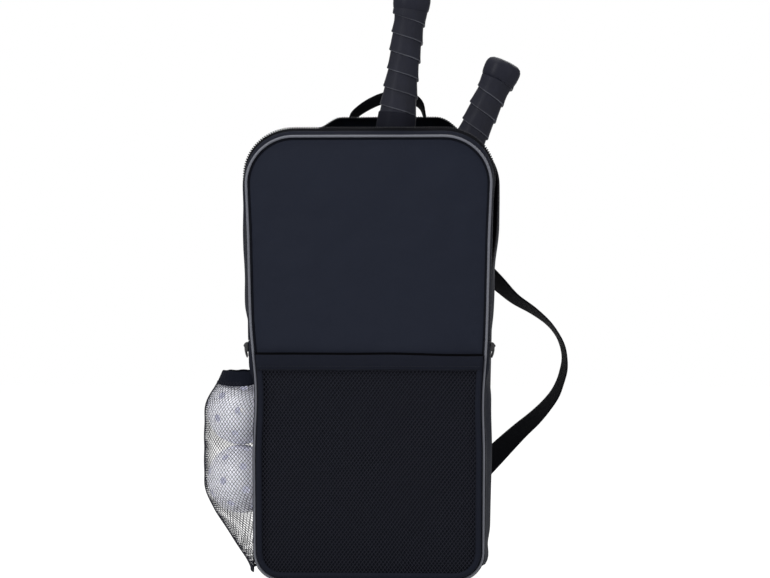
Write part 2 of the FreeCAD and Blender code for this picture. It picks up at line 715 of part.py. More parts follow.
def make_balls():
    ball = ball_body()
    for name, z, turn in (("ball_upper", UPPER_BALL_Z, 17.0), ("ball_lower", LOWER_BALL_Z, -31.0)):
        placed = ball.copy()
        placed.rotate(Vector(0, 0, 0), Vector(0.4, 0.3, 1.0), turn)
        placed.translate(Vector(BALL_X, 0, z))
        save(name, placed)


def face_corners(inset=0.0):
    """Paddle face seen from the front, throat at the origin, foot below."""
    foot = FACE_LENGTH - inset
    right = [
        (THROAT_HALF_WIDTH, -inset, 0),
        (SHOULDER_HALF_WIDTH - inset, -SHOULDER_DROP - inset, 12.0),
        (FACE_HALF_WIDTH - inset, -WIDEST_DROP, 90.0),
        (FACE_HALF_WIDTH - 2.0 - inset, -foot, FACE_FOOT_RADIUS - inset),
    ]
    left = [(-x, z, radius) for x, z, radius in reversed(right)]
    return right + left


def turned(profile):
    """Solid of round rings drawn in across the paddle's thickness, through (radius, height) points."""
    width, depth = Vector(1, 0, 0), Vector(0, HANDLE_FLATTEN, 0)
    return skin([round_ring(Vector(0, 0, z), width, depth, radius, WRAP_SIDES) for radius, z in profile])


def wrap_body():
    """Tape wound down the handle in one helix, its thick edge over the turn above."""
    low = COLLAR_LENGTH + SEAM_GAP
    high = HANDLE_LENGTH - CAP_LENGTH
    root = HANDLE_HALF_WIDTH + 0.1
    start = low - WRAP_PITCH
    width = WRAP_PITCH - WRAP_GAP
    section = [(root, 0.0), (root + WRAP_THICK, 0.0), (root + WRAP_THIN, width), (root, width)]
    steps = math.ceil((high - start) / WRAP_PITCH * WRAP_SIDES)
    rings = []
    for i in range(steps + 1):
        angle = -2 * math.pi * i / WRAP_SIDES
        rise = start + WRAP_PITCH * i / WRAP_SIDES
        cosine, sine = math.cos(angle), math.sin(angle) * HANDLE_FLATTEN
        rings.append([Vector(radius * cosine, radius * sine, rise + z) for radius, z in section])
    print("least gap of the winding to itself:", round(least_gap(rings), 3), "mm")
    return between(skin(rings), low, high)


def least_gap(rings):
    """Least distance from one turn's lower edge to the upper edge of the turn before it."""
    gaps = []
    for before, after in zip(rings, rings[WRAP_SIDES:]):
        gaps += [low.distanceToPoint(high) for low in after[:2] for high in before[2:]]
    return min(gaps)


def paddle_pieces():
    """Solids of one upright paddle, by name."""
    half = FACE_THICKNESS / 2
    core_half = half - GUARD_WALL - GUARD_CLEARANCE
    core = slab(face_corners(GUARD_WALL + GUARD_CLEARANCE), -core_half, core_half, FACE_CHORDS)
    guard = slab(face_corners(), -half, half, FACE_CHORDS)
    window = slab(face_corners(GUARD_WIDTH), -FACE_THICKNESS, FACE_THICKNESS, FACE_CHORDS)
    groove_half = half - GUARD_WALL
    groove = slab(face_corners(GUARD_WALL), -groove_half, groove_half, FACE_CHORDS)
    mouth = wall_box(-THROAT_HALF_WIDTH - 4, THROAT_HALF_WIDTH + 4, -half - 1, half + 1, -GUARD_WIDTH - 4, 1.0)
    guard = guard.cut(window).cut(groove).cut(mouth)
    top = HANDLE_LENGTH - CAP_LENGTH
    root = HANDLE_HALF_WIDTH
    seat = GUARD_WALL + GUARD_CLEARANCE
    handle = turned([(root, -seat), (root, top)])
    flare = root + COLLAR_WALL
    inner = root + 0.1
    collar = turned([(flare, 0.3), (flare - 1.4, COLLAR_LENGTH)])
    collar = collar.cut(turned([(inner, -1.0), (inner, COLLAR_LENGTH + 1.0)]))
    rim_radius = root + CAP_WALL
    cap_low = top + 0.3
    cap_ring = [(rim_radius - 1.6, cap_low), (rim_radius, cap_low + 4.0)]
    cap_ring += [(rim_radius, HANDLE_LENGTH - 2.5), (rim_radius - 2.5, HANDLE_LENGTH)]
    return {
        "face": core,
        "edge_guard": guard,
        "handle": handle,
        "grip_wrap": wrap_body(),
        "collar": collar,
        "butt_cap": turned(cap_ring),
    }


def rear_throat_x():
    """X of the rear paddle's throat, at which the widest place of its face clears the side."""
    angle = math.radians(REAR_PADDLE_TILT)
    out = FACE_HALF_WIDTH * math.cos(angle) - WIDEST_DROP * math.sin(angle)
    z = REAR_THROAT_Z - FACE_HALF_WIDTH * math.sin(angle) - WIDEST_DROP * math.cos(angle)
    return half_width(z) - REAR_PADDLE_GAP - out


def make_paddles():
    places = (
        ("front_paddle", FRONT_THROAT_X, FRONT_THROAT_Z, FRONT_PADDLE_Y, FRONT_PADDLE_TILT),
        ("rear_paddle", rear_throat_x(), REAR_THROAT_Z, REAR_PADDLE_Y, REAR_PADDLE_TILT),
    )
    pieces = paddle_pieces()
    for name, x, z, y, tilt in places:
        for part_name, shape in pieces.items():
            placed = shape.copy()
            placed.rotate(Vector(0, 0, 0), Vector(0, 1, 0), tilt)
            placed.translate(Vector(x, y, z))
            save(name + "_" + part_name, placed)


def paddle_lowest(throat_z, tilt):
    """Height of a leaning paddle's lowest point."""
    angle = math.radians(tilt)
    drop = (FACE_LENGTH - FACE_FOOT_RADIUS) * math.cos(angle)
    sideways = (FACE_HALF_WIDTH - 2.0 - FACE_FOOT_RADIUS) * math.sin(angle)
    return throat_z - drop - sideways - FACE_FOOT_RADIUS


def fold_stack(y_front, y_back, top):
    """Folded cloth from side to side of the bag, rounded at its edges."""
    left = BALL_X + BALL_RADIUS + BALL_CLEARANCE + CLOTH + 3.0
    right = half_width(0.0, CLOTH) - 3.0
    low = CLOTH + NET_CLEARANCE
    corners = [(right, low, FOOT_CORNER - 4.0), (right, top, 14.0), (left, top, 14.0), (left, low, 14.0)]
    return slab(corners, y_front, y_back)


def make_net():
    margin = NET_TIE_THICKNESS + NET_CLEARANCE
    middle = (FRONT_PADDLE_Y + REAR_PADDLE_Y) / 2
    front_top = paddle_lowest(FRONT_THROAT_Z, FRONT_PADDLE_TILT) - NET_CLEARANCE
    rear_top = paddle_lowest(REAR_THROAT_Z, REAR_PADDLE_TILT) - NET_CLEARANCE
    front_stack = fold_stack(INNER_FRONT_Y + margin, middle - 0.2, front_top)
    rear_stack = fold_stack(middle + 0.2, INNER_BACK_Y - margin, rear_top)
    save("net_fold_front", front_stack)
    save("net_fold_rear", rear_stack)
    box = front_stack.BoundBox
    reach = NET_TIE_THICKNESS
    y_low, y_high = INNER_FRONT_Y + margin, INNER_BACK_Y - margin
    low, high = NET_TIE_Z, NET_TIE_Z + NET_TIE_WIDTH
    outer = wall_box(box.XMin - reach, box.XMax + reach, y_low - reach, y_high + reach, low, high)
    inner = wall_box(box.XMin, box.XMax, y_low, y_high, low - 1, high + 1)
    save("net_tie", outer.cut(inner))


def ribbon(points, thickness, bend):
    """Closed corners either side of a middle line, for a strap of one thickness."""
    sides = ([], [])
    count = len(points)
    for i, (x, z) in enumerate(points):
        before = Vector(*points[max(i - 1, 0)], 0)
        here = Vector(x, z, 0)
        after = Vector(*points[min(i + 1, count - 1)], 0)
        into = (here - before) if i else (after - here)
        out = (after - here) if i < count - 1 else into
        first = Vector(-into.y, into.x, 0).normalize()
        second = Vector(-out.y, out.x, 0).normalize()
        across = (first + second).normalize()
        reach = thickness / 2 / across.dot(first)
        inside = 0 if i in (0, count - 1) else bend
        sides[0].append((x + across.x * reach, z + across.y * reach, inside))
        sides[1].append((x - across.x * reach, z - across.y * reach, inside))
    return sides[0] + sides[1][::-1]


def make_haul_loop():
    seat = BACK_TOP + TOP_FLARE + SEAM_GAP + 0.2
    route = []
    for across, up in ((0.0, 0.0), (0.025, 0.24), (0.415, 0.92), (0.83, 1.0), (1.0, 0.0)):
        route.append((blend(LOOP_LEFT_X, LOOP_RIGHT_X, across), seat + LOOP_HEIGHT * up))
    corners = ribbon(route, LOOP_THICKNESS, LOOP_BEND)
    slope = math.atan2(TOP_FLARE, INNER_BACK_Y - MOUTH_REAR_Y)
    face = Part.Face(Part.Wire(run_edges(corners, MOUTH_REAR_Y + 1.0, True)))
    save("haul_loop", face.extrude(Vector(0, math.cos(slope), -math.sin(slope)) * LOOP_WIDTH))


def strap_route():
    """Middle line of the shoulder strap in the front view."""
    corners = [
        (STRAP_UPPER_X, STRAP_UPPER_Z, 0),
        (STRAP_OUT_X, STRAP_OUT_UPPER_Z, STRAP_BEND),
        (STRAP_OUT_X - 1.0, STRAP_OUT_LOWER_Z, STRAP_BEND),
        (STRAP_LOWER_X, STRAP_LOWER_Z, 0),
    ]
    return Part.Wire(run_edges(corners, 0.0, False))


def strap_section(point, ahead, share):
    """Flat rectangle across the strap, rolled towards edge-on where it stands away."""
    away = ramp(share, 0.10, 0.38) * (1.0 - ramp(share, 0.62, 0.90))
    roll = math.radians(STRAP_ROLL) * away
    flat = Vector(ahead.z, 0, -ahead.x)
    across = flat * math.cos(roll) + Vector(0, 1, 0) * math.sin(roll)
    up = across.cross(ahead).normalize()
    over_piping = ramp(share, 0.02, 0.12) * (1.0 - ramp(share, 0.84, 0.97))
    y = BACK_Y + SEAM_GAP + (2 * PIPING_RADIUS + 2 * SEAM_GAP) * over_piping
    y += (STRAP_WIDTH / 2) * math.sin(roll) + (STRAP_THICKNESS / 2) * math.cos(roll)
    centre = Vector(point.x, y, point.z)
    half = across * (STRAP_WIDTH / 2)
    thin = up * (STRAP_THICKNESS / 2)
    return [centre - half - thin, centre + half - thin, centre + half + thin, centre - half + thin]


def make_strap():
    points = strap_route().discretize(Number=STRAP_SECTIONS)
    rings = []
    last = len(points) - 1
    for i, point in enumerate(points):
        ahead = (points[min(i + 1, last)] - points[max(i - 1, 0)]).normalize()
        rings.append(strap_section(point, ahead, i / last))
    save("shoulder_strap", skin(rings))
    patches = []
    for end_x, z in ((STRAP_UPPER_X, STRAP_UPPER_Z), (STRAP_LOWER_X, STRAP_LOWER_Z)):
        low = z - PATCH_LENGTH / 2
        x = end_x - PATCH_SETBACK
        patches.append(wall_box(x - PATCH_LENGTH, x, BACK_Y, BACK_Y + PATCH_THICKNESS, low, low + PATCH_LENGTH))
    save("strap_patches", Part.Compound(patches))


def main():
    os.makedirs("parts", exist_ok=True)
    make_back()
    make_lower_walls()
    make_front_lower()
    make_piping()
    make_front_pocket()
    make_flap()
    make_rear_gusset()
    make_sliders()
    make_side_pocket()
    make_balls()
    make_paddles()
    make_net()
    make_haul_loop()
    make_strap()


main()
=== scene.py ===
import math
from contextlib import contextmanager
from itertools import accumulate

import bmesh
import bpy
from bpy.props import FloatProperty, FloatVectorProperty, IntProperty, PointerProperty
from bpy.types import Operator, Panel, PropertyGroup
from mathutils import Matrix, Vector
from mathutils.noise import noise


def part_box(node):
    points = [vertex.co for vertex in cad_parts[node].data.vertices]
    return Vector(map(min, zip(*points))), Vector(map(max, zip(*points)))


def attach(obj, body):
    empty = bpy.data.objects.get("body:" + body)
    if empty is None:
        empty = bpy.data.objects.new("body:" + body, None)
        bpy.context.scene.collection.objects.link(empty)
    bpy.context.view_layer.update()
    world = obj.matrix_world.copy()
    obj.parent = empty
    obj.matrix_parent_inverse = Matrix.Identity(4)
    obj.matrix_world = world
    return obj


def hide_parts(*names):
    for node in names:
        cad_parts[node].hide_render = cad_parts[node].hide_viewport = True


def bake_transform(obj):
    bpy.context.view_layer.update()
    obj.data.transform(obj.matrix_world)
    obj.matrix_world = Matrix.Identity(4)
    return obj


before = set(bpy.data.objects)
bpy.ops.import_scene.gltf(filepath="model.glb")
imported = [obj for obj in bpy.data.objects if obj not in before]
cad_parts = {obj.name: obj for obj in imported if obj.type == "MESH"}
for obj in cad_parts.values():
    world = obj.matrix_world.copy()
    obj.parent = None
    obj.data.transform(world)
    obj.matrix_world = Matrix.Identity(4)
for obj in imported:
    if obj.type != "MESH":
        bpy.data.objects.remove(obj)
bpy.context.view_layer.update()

bl_info = {
    "name": "Pickleball set bag",
    "version": (1, 0, 0),
    "blender": (4, 5, 0),
    "location": "3D View > Sidebar > Set bag",
    "description": "Builds the cloth, nets, zip, straps, paddles and balls round the packed bag",
    "category": "Add Mesh",
}

# Shape of the bag, in metres, as in the part's source
FRONT_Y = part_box("front_panel_lower")[0][1]
BACK_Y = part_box("back_panel")[1][1]
INNER_BACK_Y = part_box("back_panel")[0][1]
INNER_FRONT_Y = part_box("front_panel_lower")[1][1]
HALF_WIDTH_FOOT = 0.1235
FRONT_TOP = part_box("flap_panel")[1][2]
BACK_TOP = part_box("back_panel")[1][2]
SLOPE = 0.0107 / FRONT_TOP
LEAN = math.atan(SLOPE)
FRONT_CORNER = 0.053
BACK_CORNER = 0.060
FOOT_CORNER = 0.032
FOLD = Vector((0.0, -0.0521, 0.257))
SLIDER_Y = -0.034
PIN = Vector((0.13344, SLIDER_Y, 0.251387))
PIN_OUT, PIN_UP = 0.0051, 0.0070    # the pin in a slider's own frame
FRONT_TAPE_Y = -0.041
REAR_TAPE_Y = -0.027
FRONT_TEETH_Y = -0.0361
LOW_TEETH_Y = -0.0319   # of the rear row, where the zip is closed
MOUTH_REAR_Y = 0.028
TAPE_FOOT_Z = 0.236
TEETH_FOOT_Z = 0.2625   # of the rows above the fold
ZIP_CLOSED_Z = 0.320
ZIP_OPEN_Z = 0.415
POCKET_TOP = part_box("pocket_hem")[1][2]
POCKET_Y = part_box("pocket_mesh")[0][1]
POCKET_INSET = 0.0046   # of the front pocket's seam from the bag's outline
BALL_RADIUS = 0.037
BALL_X = (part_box("ball_upper")[0][0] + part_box("ball_upper")[1][0]) / 2
BALL_HEIGHTS = [(low[2] + high[2]) / 2 for low, high in map(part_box, ("ball_upper", "ball_lower"))]
PADDLES = (
    ("front_paddle", (0.027, -0.01788, 0.481), 7.3),
    ("rear_paddle", (0.08145, 0.00503, 0.419), 25.0),
)
GRIP_FLAT = 0.79

# Thicknesses of cloth and tape, and the sizes of one tooth and one stitch
NYLON, GUSSET, TAPE = 0.0016, 0.0014, 0.0009
STRIP_IN = 0.0008       # how far the middle of a strip lies inside the outline
TOOTH = (0.0016, 0.0021, 0.0023)
STITCH = (0.0024, 0.0004, 0.0005)


def smooth(value, low, high):
    """Rise smoothly from 0 at low to 1 at high."""
    share = min(1.0, max(0.0, (value - low) / (high - low)))
    return share * share * (3.0 - 2.0 * share)


def lerp(low, high, share):
    return low + (high - low) * share


def shares(count):
    """Even shares from 0 to 1."""
    return [i / (count - 1) for i in range(count)]


def spread(count):
    """Even shares from -1 to 1."""
    return [2.0 * i / (count - 1) - 1.0 for i in range(count)]


def half_width(z):
    return HALF_WIDTH_FOOT + SLOPE * z


def drawn_in(z, x):
    """How far the full front and lower sides are drawn in from a straight side, most at the pocket's hem."""
    inward = 0.0027 * math.exp(-((z - 0.195) / 0.045) ** 2)
    inward += 0.0012 * smooth(z, 0.02, 0.12) * (1.0 - smooth(z, 0.36, 0.44))
    if x < 0:
        inward += (0.0014 * math.exp(-((z - 0.215) / 0.045) ** 2)
                   + 0.0009 * smooth(z, 0.0, 0.03) * (1.0 - smooth(z, 0.22, 0.30)))
    return inward


def pulled_in(x, z):
    """X of a seam point after the side is drawn in, less so near the middle."""
    return x - math.copysign(drawn_in(z, x), x) * min(1.0, abs(x) / 0.05)


def arc_points(x, z, radius, start, end, step):
    """(x, z, nx, nz) points on an arc, angles in radians."""
    count = max(3, math.ceil(abs(end - start) * radius / step))
    points = []
    for i in range(count + 1):
        angle = lerp(start, end, i / count)
        cosine, sine = math.cos(angle), math.sin(angle)
        points.append((x + radius * cosine, z + radius * sine, cosine, sine))
    return points


def line_points(first, last, step):
    """Points between two (x, z, nx, nz) points, ends left out."""
    count = max(1, math.ceil(math.dist(first[:2], last[:2]) / step))
    return [tuple(lerp(a, b, i / count) for a, b in zip(first, last)) for i in range(1, count)]


def side_point(z, inset):
    return (half_width(z) - inset, z, math.cos(LEAN), -math.sin(LEAN))


def corner_arc(z, corner, inset, start, end, step):
    """Arc that meets the leaning right side, with its centre at z."""
    return arc_points(half_width(z) - corner / math.cos(LEAN), z, corner - inset, start, end, step)


def both_sides(right, step, right_first):
    """Route over both sides, from the points of the right one."""
    left = [(-x, z, -nx, nz) for x, z, nx, nz in reversed(right)]
    first, last = (right, left) if right_first else (left, right)
    return first + line_points(first[-1], last[0], step) + last


def over_top(top, corner, z_end, step, inset=0.0):
    """Route from the right side at z_end over the top to the left side."""
    arc = corner_arc(top - corner, corner, inset, -LEAN, math.pi / 2, step)
    foot = side_point(z_end, inset)
    return both_sides([foot] + line_points(foot, arc[0], step) + arc, step, True)


def under_foot(z_end, step, inset=0.0):
    """Route from the left side at z_end round the underside to the right side."""
    arc = corner_arc(FOOT_CORNER, FOOT_CORNER, inset, -math.pi / 2, -LEAN, step)
    head = side_point(z_end, inset)
    return both_sides(arc + line_points(arc[-1], head, step) + [head], step, False)


# Stations round the two edges of the mouth
FRONT_MOUTH = over_top(FRONT_TOP, FRONT_CORNER, FOLD.z + 0.0004, 0.0045)
REAR_MOUTH = over_top(BACK_TOP, BACK_CORNER, FOLD.z, 0.0045)


def ripple(x, y, z, size, seed=0.0):
    """Smooth wrinkle value from -1 to 1."""
    return noise(Vector((x / size + seed, y / size - seed, z / size + 2.0 * seed)))


# Meshes

@contextmanager
def editing(mesh):
    """The mesh opened for change, and written back at the end."""
    work = bmesh.new()
    work.from_mesh(mesh)
    yield work
    work.to_mesh(mesh)
    work.free()


def new_object(name, mesh):
    item = bpy.data.objects.new(name, mesh)
    bpy.context.scene.collection.objects.link(item)
    return item


def plain(name, points, edges=(), faces=()):
    """Object from points, edges and faces."""
    mesh = bpy.data.meshes.new(name)
    mesh.from_pydata(points, edges, faces)
    return new_object(name, mesh)


def drop(item):
    """Remove an object together with its mesh."""
    mesh = item.data
    bpy.data.objects.remove(item)
    bpy.data.meshes.remove(mesh)


def grid(name, rows, wrap=False):
    """Mesh of four-sided faces through rows of points, with a UV map in metres."""
    count, half = len(rows[0]), len(rows[0]) // 2
    middle = rows[len(rows) // 2]
    across = [0.0, *accumulate(map(math.dist, middle, middle[1:] + middle[:1]))]
    up = [0.0, *accumulate(math.dist(before[half], after[half]) for before, after in zip(rows, rows[1:]))]
    faces, uvs = [], []
    for i in range(len(rows) - 1):
        for j in range(count if wrap else count - 1):
            k = (j + 1) % count
            faces.append((i * count + j, i * count + k, (i + 1) * count + k, (i + 1) * count + j))
            left, right, low, high = across[j], across[j + 1], up[i], up[i + 1]
            uvs += [(left, low), (right, low), (right, high), (left, high)]
    item = plain(name, [point for row in rows for point in row], (), faces)
    for loop, value in zip(item.data.uv_layers.new(name="UVMap").data, uvs):
        loop.uv = value
    item.data.shade_smooth()
    return item


def turn_outwards(item):
    """Smooth closed mesh with its doubles merged and its faces pointing out."""
    with editing(item.data) as work:
        bmesh.ops.remove_doubles(work, verts=work.verts, dist=1e-6)
        bmesh.ops.recalc_face_normals(work, faces=work.faces)
    item.data.shade_smooth()
    return item


def rod(name, rows):
    """Closed form through rings of points, with a flat face at each end."""
    item, count = grid(name, rows, wrap=True), len(rows[0])
    with editing(item.data) as work:
        work.verts.ensure_lookup_table()
        for ring in (work.verts[:count], work.verts[-count:]):
            work.faces.new(ring)
        bmesh.ops.recalc_face_normals(work, faces=work.faces)
    item.data.shade_smooth()
    return item


def settle(item):
    """Give the object the plain mesh that its modifiers make."""
    bpy.context.view_layer.update()
    graph = bpy.context.evaluated_depsgraph_get()
    mesh = bpy.data.meshes.new_from_object(
        item.evaluated_get(graph), preserve_all_data_layers=True, depsgraph=graph)
    item.modifiers.clear()
    item.data = mesh
    mesh.name = item.name
    return item


def thicken(item, thickness):
    """Closed cloth of one thickness, half of it on each side of the sheet."""
    solid = item.modifiers.new("Thickness", "SOLIDIFY")
    solid.thickness = thickness
    solid.offset = 0.0
    solid.use_even_offset = True
    return turn_outwards(settle(item))


def cloth(name, rows, thickness):
    return thicken(grid(name, rows), thickness)


def place(item, body, look, slot, *nodes):
    """Dress a finished piece, hang it on its body and hide what it stands for."""
    item.data.materials.clear()
    item.data.materials.append(finish(look))
    if body:
        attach(item, body)
    if nodes:
        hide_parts(*nodes)
    return item


def fold_with_flap(item):
    """Bake the piece's placement into its mesh."""
    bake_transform(item)


def join(name, items):
    """One object from several, with their meshes kept where they are."""
    mesh = bpy.data.meshes.new(name)
    with editing(mesh) as work:
        for item in items:
            work.from_mesh(item.data)
            drop(item)
    mesh.shade_smooth()
    return new_object(name, mesh)


# Node graphs

class Value:
    """One number in a node tree, for plain arithmetic."""

    def __init__(self, graph, socket):
        self.graph, self.socket = graph, socket

    def maths(self, operation, *inputs):
        made = self.graph.out("ShaderNodeMath", dict(enumerate(inputs)), operation=operation)
        return Value(self.graph, made)

    def __add__(self, other): return self.maths("ADD", self, other)
    def __radd__(self, other): return self.maths("ADD", other, self)
    def __sub__(self, other): return self.maths("SUBTRACT", self, other)
    def __rsub__(self, other): return self.maths("SUBTRACT", other, self)
    def __mul__(self, other): return self.maths("MULTIPLY", self, other)
    def __rmul__(self, other): return self.maths("MULTIPLY", other, self)
    def __truediv__(self, other): return self.maths("DIVIDE", self, other)
    def __rtruediv__(self, other): return self.maths("DIVIDE", other, self)
    def __pow__(self, other): return self.maths("POWER", self, other)
    def __abs__(self): return self.maths("ABSOLUTE", self)
    def sine(self): return self.maths("SINE", self)
    def part(self): return self.maths("FRACT", self)
    def least(self, other): return self.maths("MINIMUM", self, other)
    def most(self, other): return self.maths("MAXIMUM", self, other)
    def share(self): return self.least(1.0).most(0.0)


class Graph:
    """A node tree that is filled with plain calls."""

    def __init__(self, tree):
        self.tree = tree

    @classmethod
    def emptied(cls, owner):
        """The graph of a material or world, with no node left in it."""
        owner.use_nodes = True
        owner.node_tree.nodes.clear()
        return cls(owner.node_tree)

    def node(self, kind, values=None, **settings):
        """New node with its settings, and a constant or a link for each named input."""
        made = self.tree.nodes.new(kind)
        for name, value in settings.items():
            setattr(made, name, value)
        for key, value in (values or {}).items():
            value = value.socket if isinstance(value, Value) else value
            if isinstance(value, bpy.types.NodeSocket):
                self.tree.links.new(value, made.inputs[key])
            else:
                made.inputs[key].default_value = value
        return made

    def out(self, kind, values=None, output=0, **settings):
        return self.node(kind, values, **settings).outputs[output]


class Finish(Graph):
    """A material with one Principled surface."""

    def __init__(self, name, roughness, specular=0.5):
        self.material = bpy.data.materials.new("Set bag " + name)
        super().__init__(Graph.emptied(self.material).tree)
        self.surface = self.node("ShaderNodeBsdfPrincipled", {
            "Roughness": roughness, "Specular IOR Level": specular})
        self.node("ShaderNodeOutputMaterial", {"Surface": self.surface.outputs[0]})
        self.spots = self.node("ShaderNodeTexCoord").outputs

    def axes(self, kind="Object"):
        split = self.node("ShaderNodeSeparateXYZ", {0: self.spots[kind]})
        return [Value(self, axis) for axis in split.outputs]

    def speckle(self, scale, detail=3.0):
        return Value(self, self.out("ShaderNodeTexNoise", {
            "Vector": self.spots["Object"], "Scale": scale, "Detail": detail}))

    def mix(self, share, first, second):
        return self.out("ShaderNodeMix", {0: share, 6: first, 7: second}, 2, data_type="RGBA")

    def set(self, name, value):
        self.tree.links.new(value.socket if isinstance(value, Value) else value, self.surface.inputs[name])

    def bump(self, height, distance):
        self.set("Normal", self.out("ShaderNodeBump", {"Height": height, "Distance": distance}))


def tint(colour, factor):
    return tuple(min(1.0, part * factor) for part in colour[:3]) + (1.0,)


def woven(name, colour, pitch=None, roughness=0.75, specular=0.2, depth=0.0001,
          slant=0.0, painted_shade_height=0.0, dim=1.0):
    """Plain or slanted weave, a little uneven in colour, with painted shade below a height if asked."""
    made = Finish(name, roughness, specular)
    colour = tint(colour, dim)
    turn = math.pi / (pitch or sizes().weave_pitch)
    u, v, _ = made.axes("UV")
    threads = ((u + v * slant) * turn).sine() * ((v - u * slant) * turn).sine()
    patches = made.speckle(22.0)
    fine = made.speckle(420.0, 2.0)
    shade = (patches * 0.7 + fine * 0.3 + threads * 0.12 - 0.5) * 0.25 + 0.5
    tone = made.mix(shade, tint(colour, 0.62), tint(colour, 1.38))
    # Painted shade: below the given height the colour darkens, standing in for the shadow on the cloth
    # behind the front net.
    if painted_shade_height:
        tone = made.mix(((painted_shade_height - made.axes()[2]) * 400.0).share(), tone, tint(colour, 0.45))
    made.set("Base Color", tone)
    made.set("Roughness", (fine - 0.5) * 0.18 + roughness)
    made.bump(threads * 0.6 + fine * 0.5, depth)
    return made.material


def ribbed(name, colour, pitch, across=False, roughness=0.7, specular=0.25, depth=0.00025,
           chevron=0.0, dim=1.0):
    """Webbing, elastic or tape with ribs along or across it, and a chevron if asked."""
    made = Finish(name, roughness, specular)
    colour = tint(colour, dim)
    u, v, _ = made.axes("UV")
    if across:
        u, v = v, u
    bend = abs((u * (1.0 / (8 * pitch))).part() - 0.5) * (8 * pitch * chevron) if chevron else 0.0
    ribs = ((v + bend) * (2 * math.pi / pitch)).sine()
    cross = (u * (2 * math.pi / (pitch * 0.7))).sine()
    fine = made.speckle(600.0, 2.0)
    height = ribs * 0.5 + cross * 0.15 + fine * 0.4
    made.set("Base Color", made.mix(height * 0.4 + 0.4, tint(colour, 0.55), tint(colour, 1.5)))
    made.set("Roughness", fine * 0.2 + (roughness - 0.1))
    made.bump(height, depth)
    return made.material


def grained(name, colour, roughness, specular=0.4, grain=900.0, depth=0.00006, wear=0.0):
    """Moulded or coated surface with a fine grain and faint handling marks."""
    made = Finish(name, roughness, specular)
    fine = made.speckle(grain, 4.0)
    marks = made.speckle(38.0, 5.0)
    shade = (fine * 0.4 + marks * 0.6 - 0.5) * 0.6 + 0.5
    made.set("Base Color", made.mix(shade, tint(colour, 0.8), tint(colour, 1.2 + wear)))
    made.set("Roughness", (marks - 0.5) * 0.25 + roughness)
    made.bump(fine + marks * 0.5, depth)
    return made.material


def grip_tape(name, colour):
    """Cushioned tape: fine pores, a soft shine, faint creases along the winding and a painted highlight
    along each turn's raised edge.
    """
    made = Finish(name, 0.5, 0.11)
    u, _, _ = made.axes("UV")
    pores = Value(made, made.out("ShaderNodeTexVoronoi", {
        "Vector": made.spots["Object"], "Scale": 750.0}, feature="DISTANCE_TO_EDGE"))
    soft = made.speckle(55.0, 4.0)
    crease = (u * 900.0 + soft * 9.0).sine()
    body = made.mix(soft * 0.8 + pores.least(0.25) * 0.6 - 0.05, tint(colour, 0.62), tint(colour, 1.45))
    # Painted highlight: lighter colour along each turn's raised edge, where the light catches it.
    edge = ((0.0021 - u) * 1400.0).share() * (soft * 0.9 + 0.1)
    made.set("Base Color", made.mix(edge, body, (0.115, 0.120, 0.140, 1.0)))
    made.set("Roughness", soft * 0.25 + 0.36)
    made.bump(pores.least(0.2) * 2.0 + crease * 0.06 + soft * 0.8, 0.00022)
    return made.material


def ball_plastic(name, colour):
    """Satin moulded plastic with scuffs. Its inner surface glows faintly, a painted light that stands for
    what its thin wall lets in.
    """
    made = Finish(name, 0.38, 0.45)
    inputs = made.surface.inputs
    inputs["Subsurface Weight"].default_value = 0.5
    inputs["Subsurface Radius"].default_value = (0.007, 0.007, 0.007)
    inputs["Subsurface Scale"].default_value = 1.0
    inputs["Emission Strength"].default_value = 1.0
    scuffs = made.speckle(60.0, 6.0)
    fine = made.speckle(900.0, 2.0)
    made.set("Base Color", made.mix(scuffs, tint(colour, 0.90), tint(colour, 1.05)))
    made.set("Roughness", scuffs * 0.3 + 0.25)
    # Painted light: the surface inside the wall glows faintly.
    x, y, z = made.axes()
    far = [((x - BALL_X) ** 2.0 + y ** 2.0 + (z - height) ** 2.0) ** 0.5 for height in BALL_HEIGHTS]
    inside = (BALL_RADIUS - 0.0006 - far[0].least(far[1])) * 2000.0
    made.set("Emission Color", made.mix(inside.share(), (0.0, 0.0, 0.0, 1.0), tint(colour, 0.11)))
    made.bump(fine + scuffs * 0.8, 0.00005)
    return made.material


def paddle_face(name, colour):
    """Matt composite sheet with a fine crosswise fibre texture."""
    made = Finish(name, 0.55, 0.4)
    x, _, z = made.axes()
    fibre = (x * 3000.0).sine() * (z * 3000.0).sine()
    soft = made.speckle(30.0, 4.0)
    made.set("Base Color", made.mix(soft + fibre * 0.12, tint(colour, 0.8), tint(colour, 1.25)))
    made.set("Roughness", soft * 0.2 + 0.45)
    made.bump(fibre * 0.5 + soft, 0.00008)
    return made.material


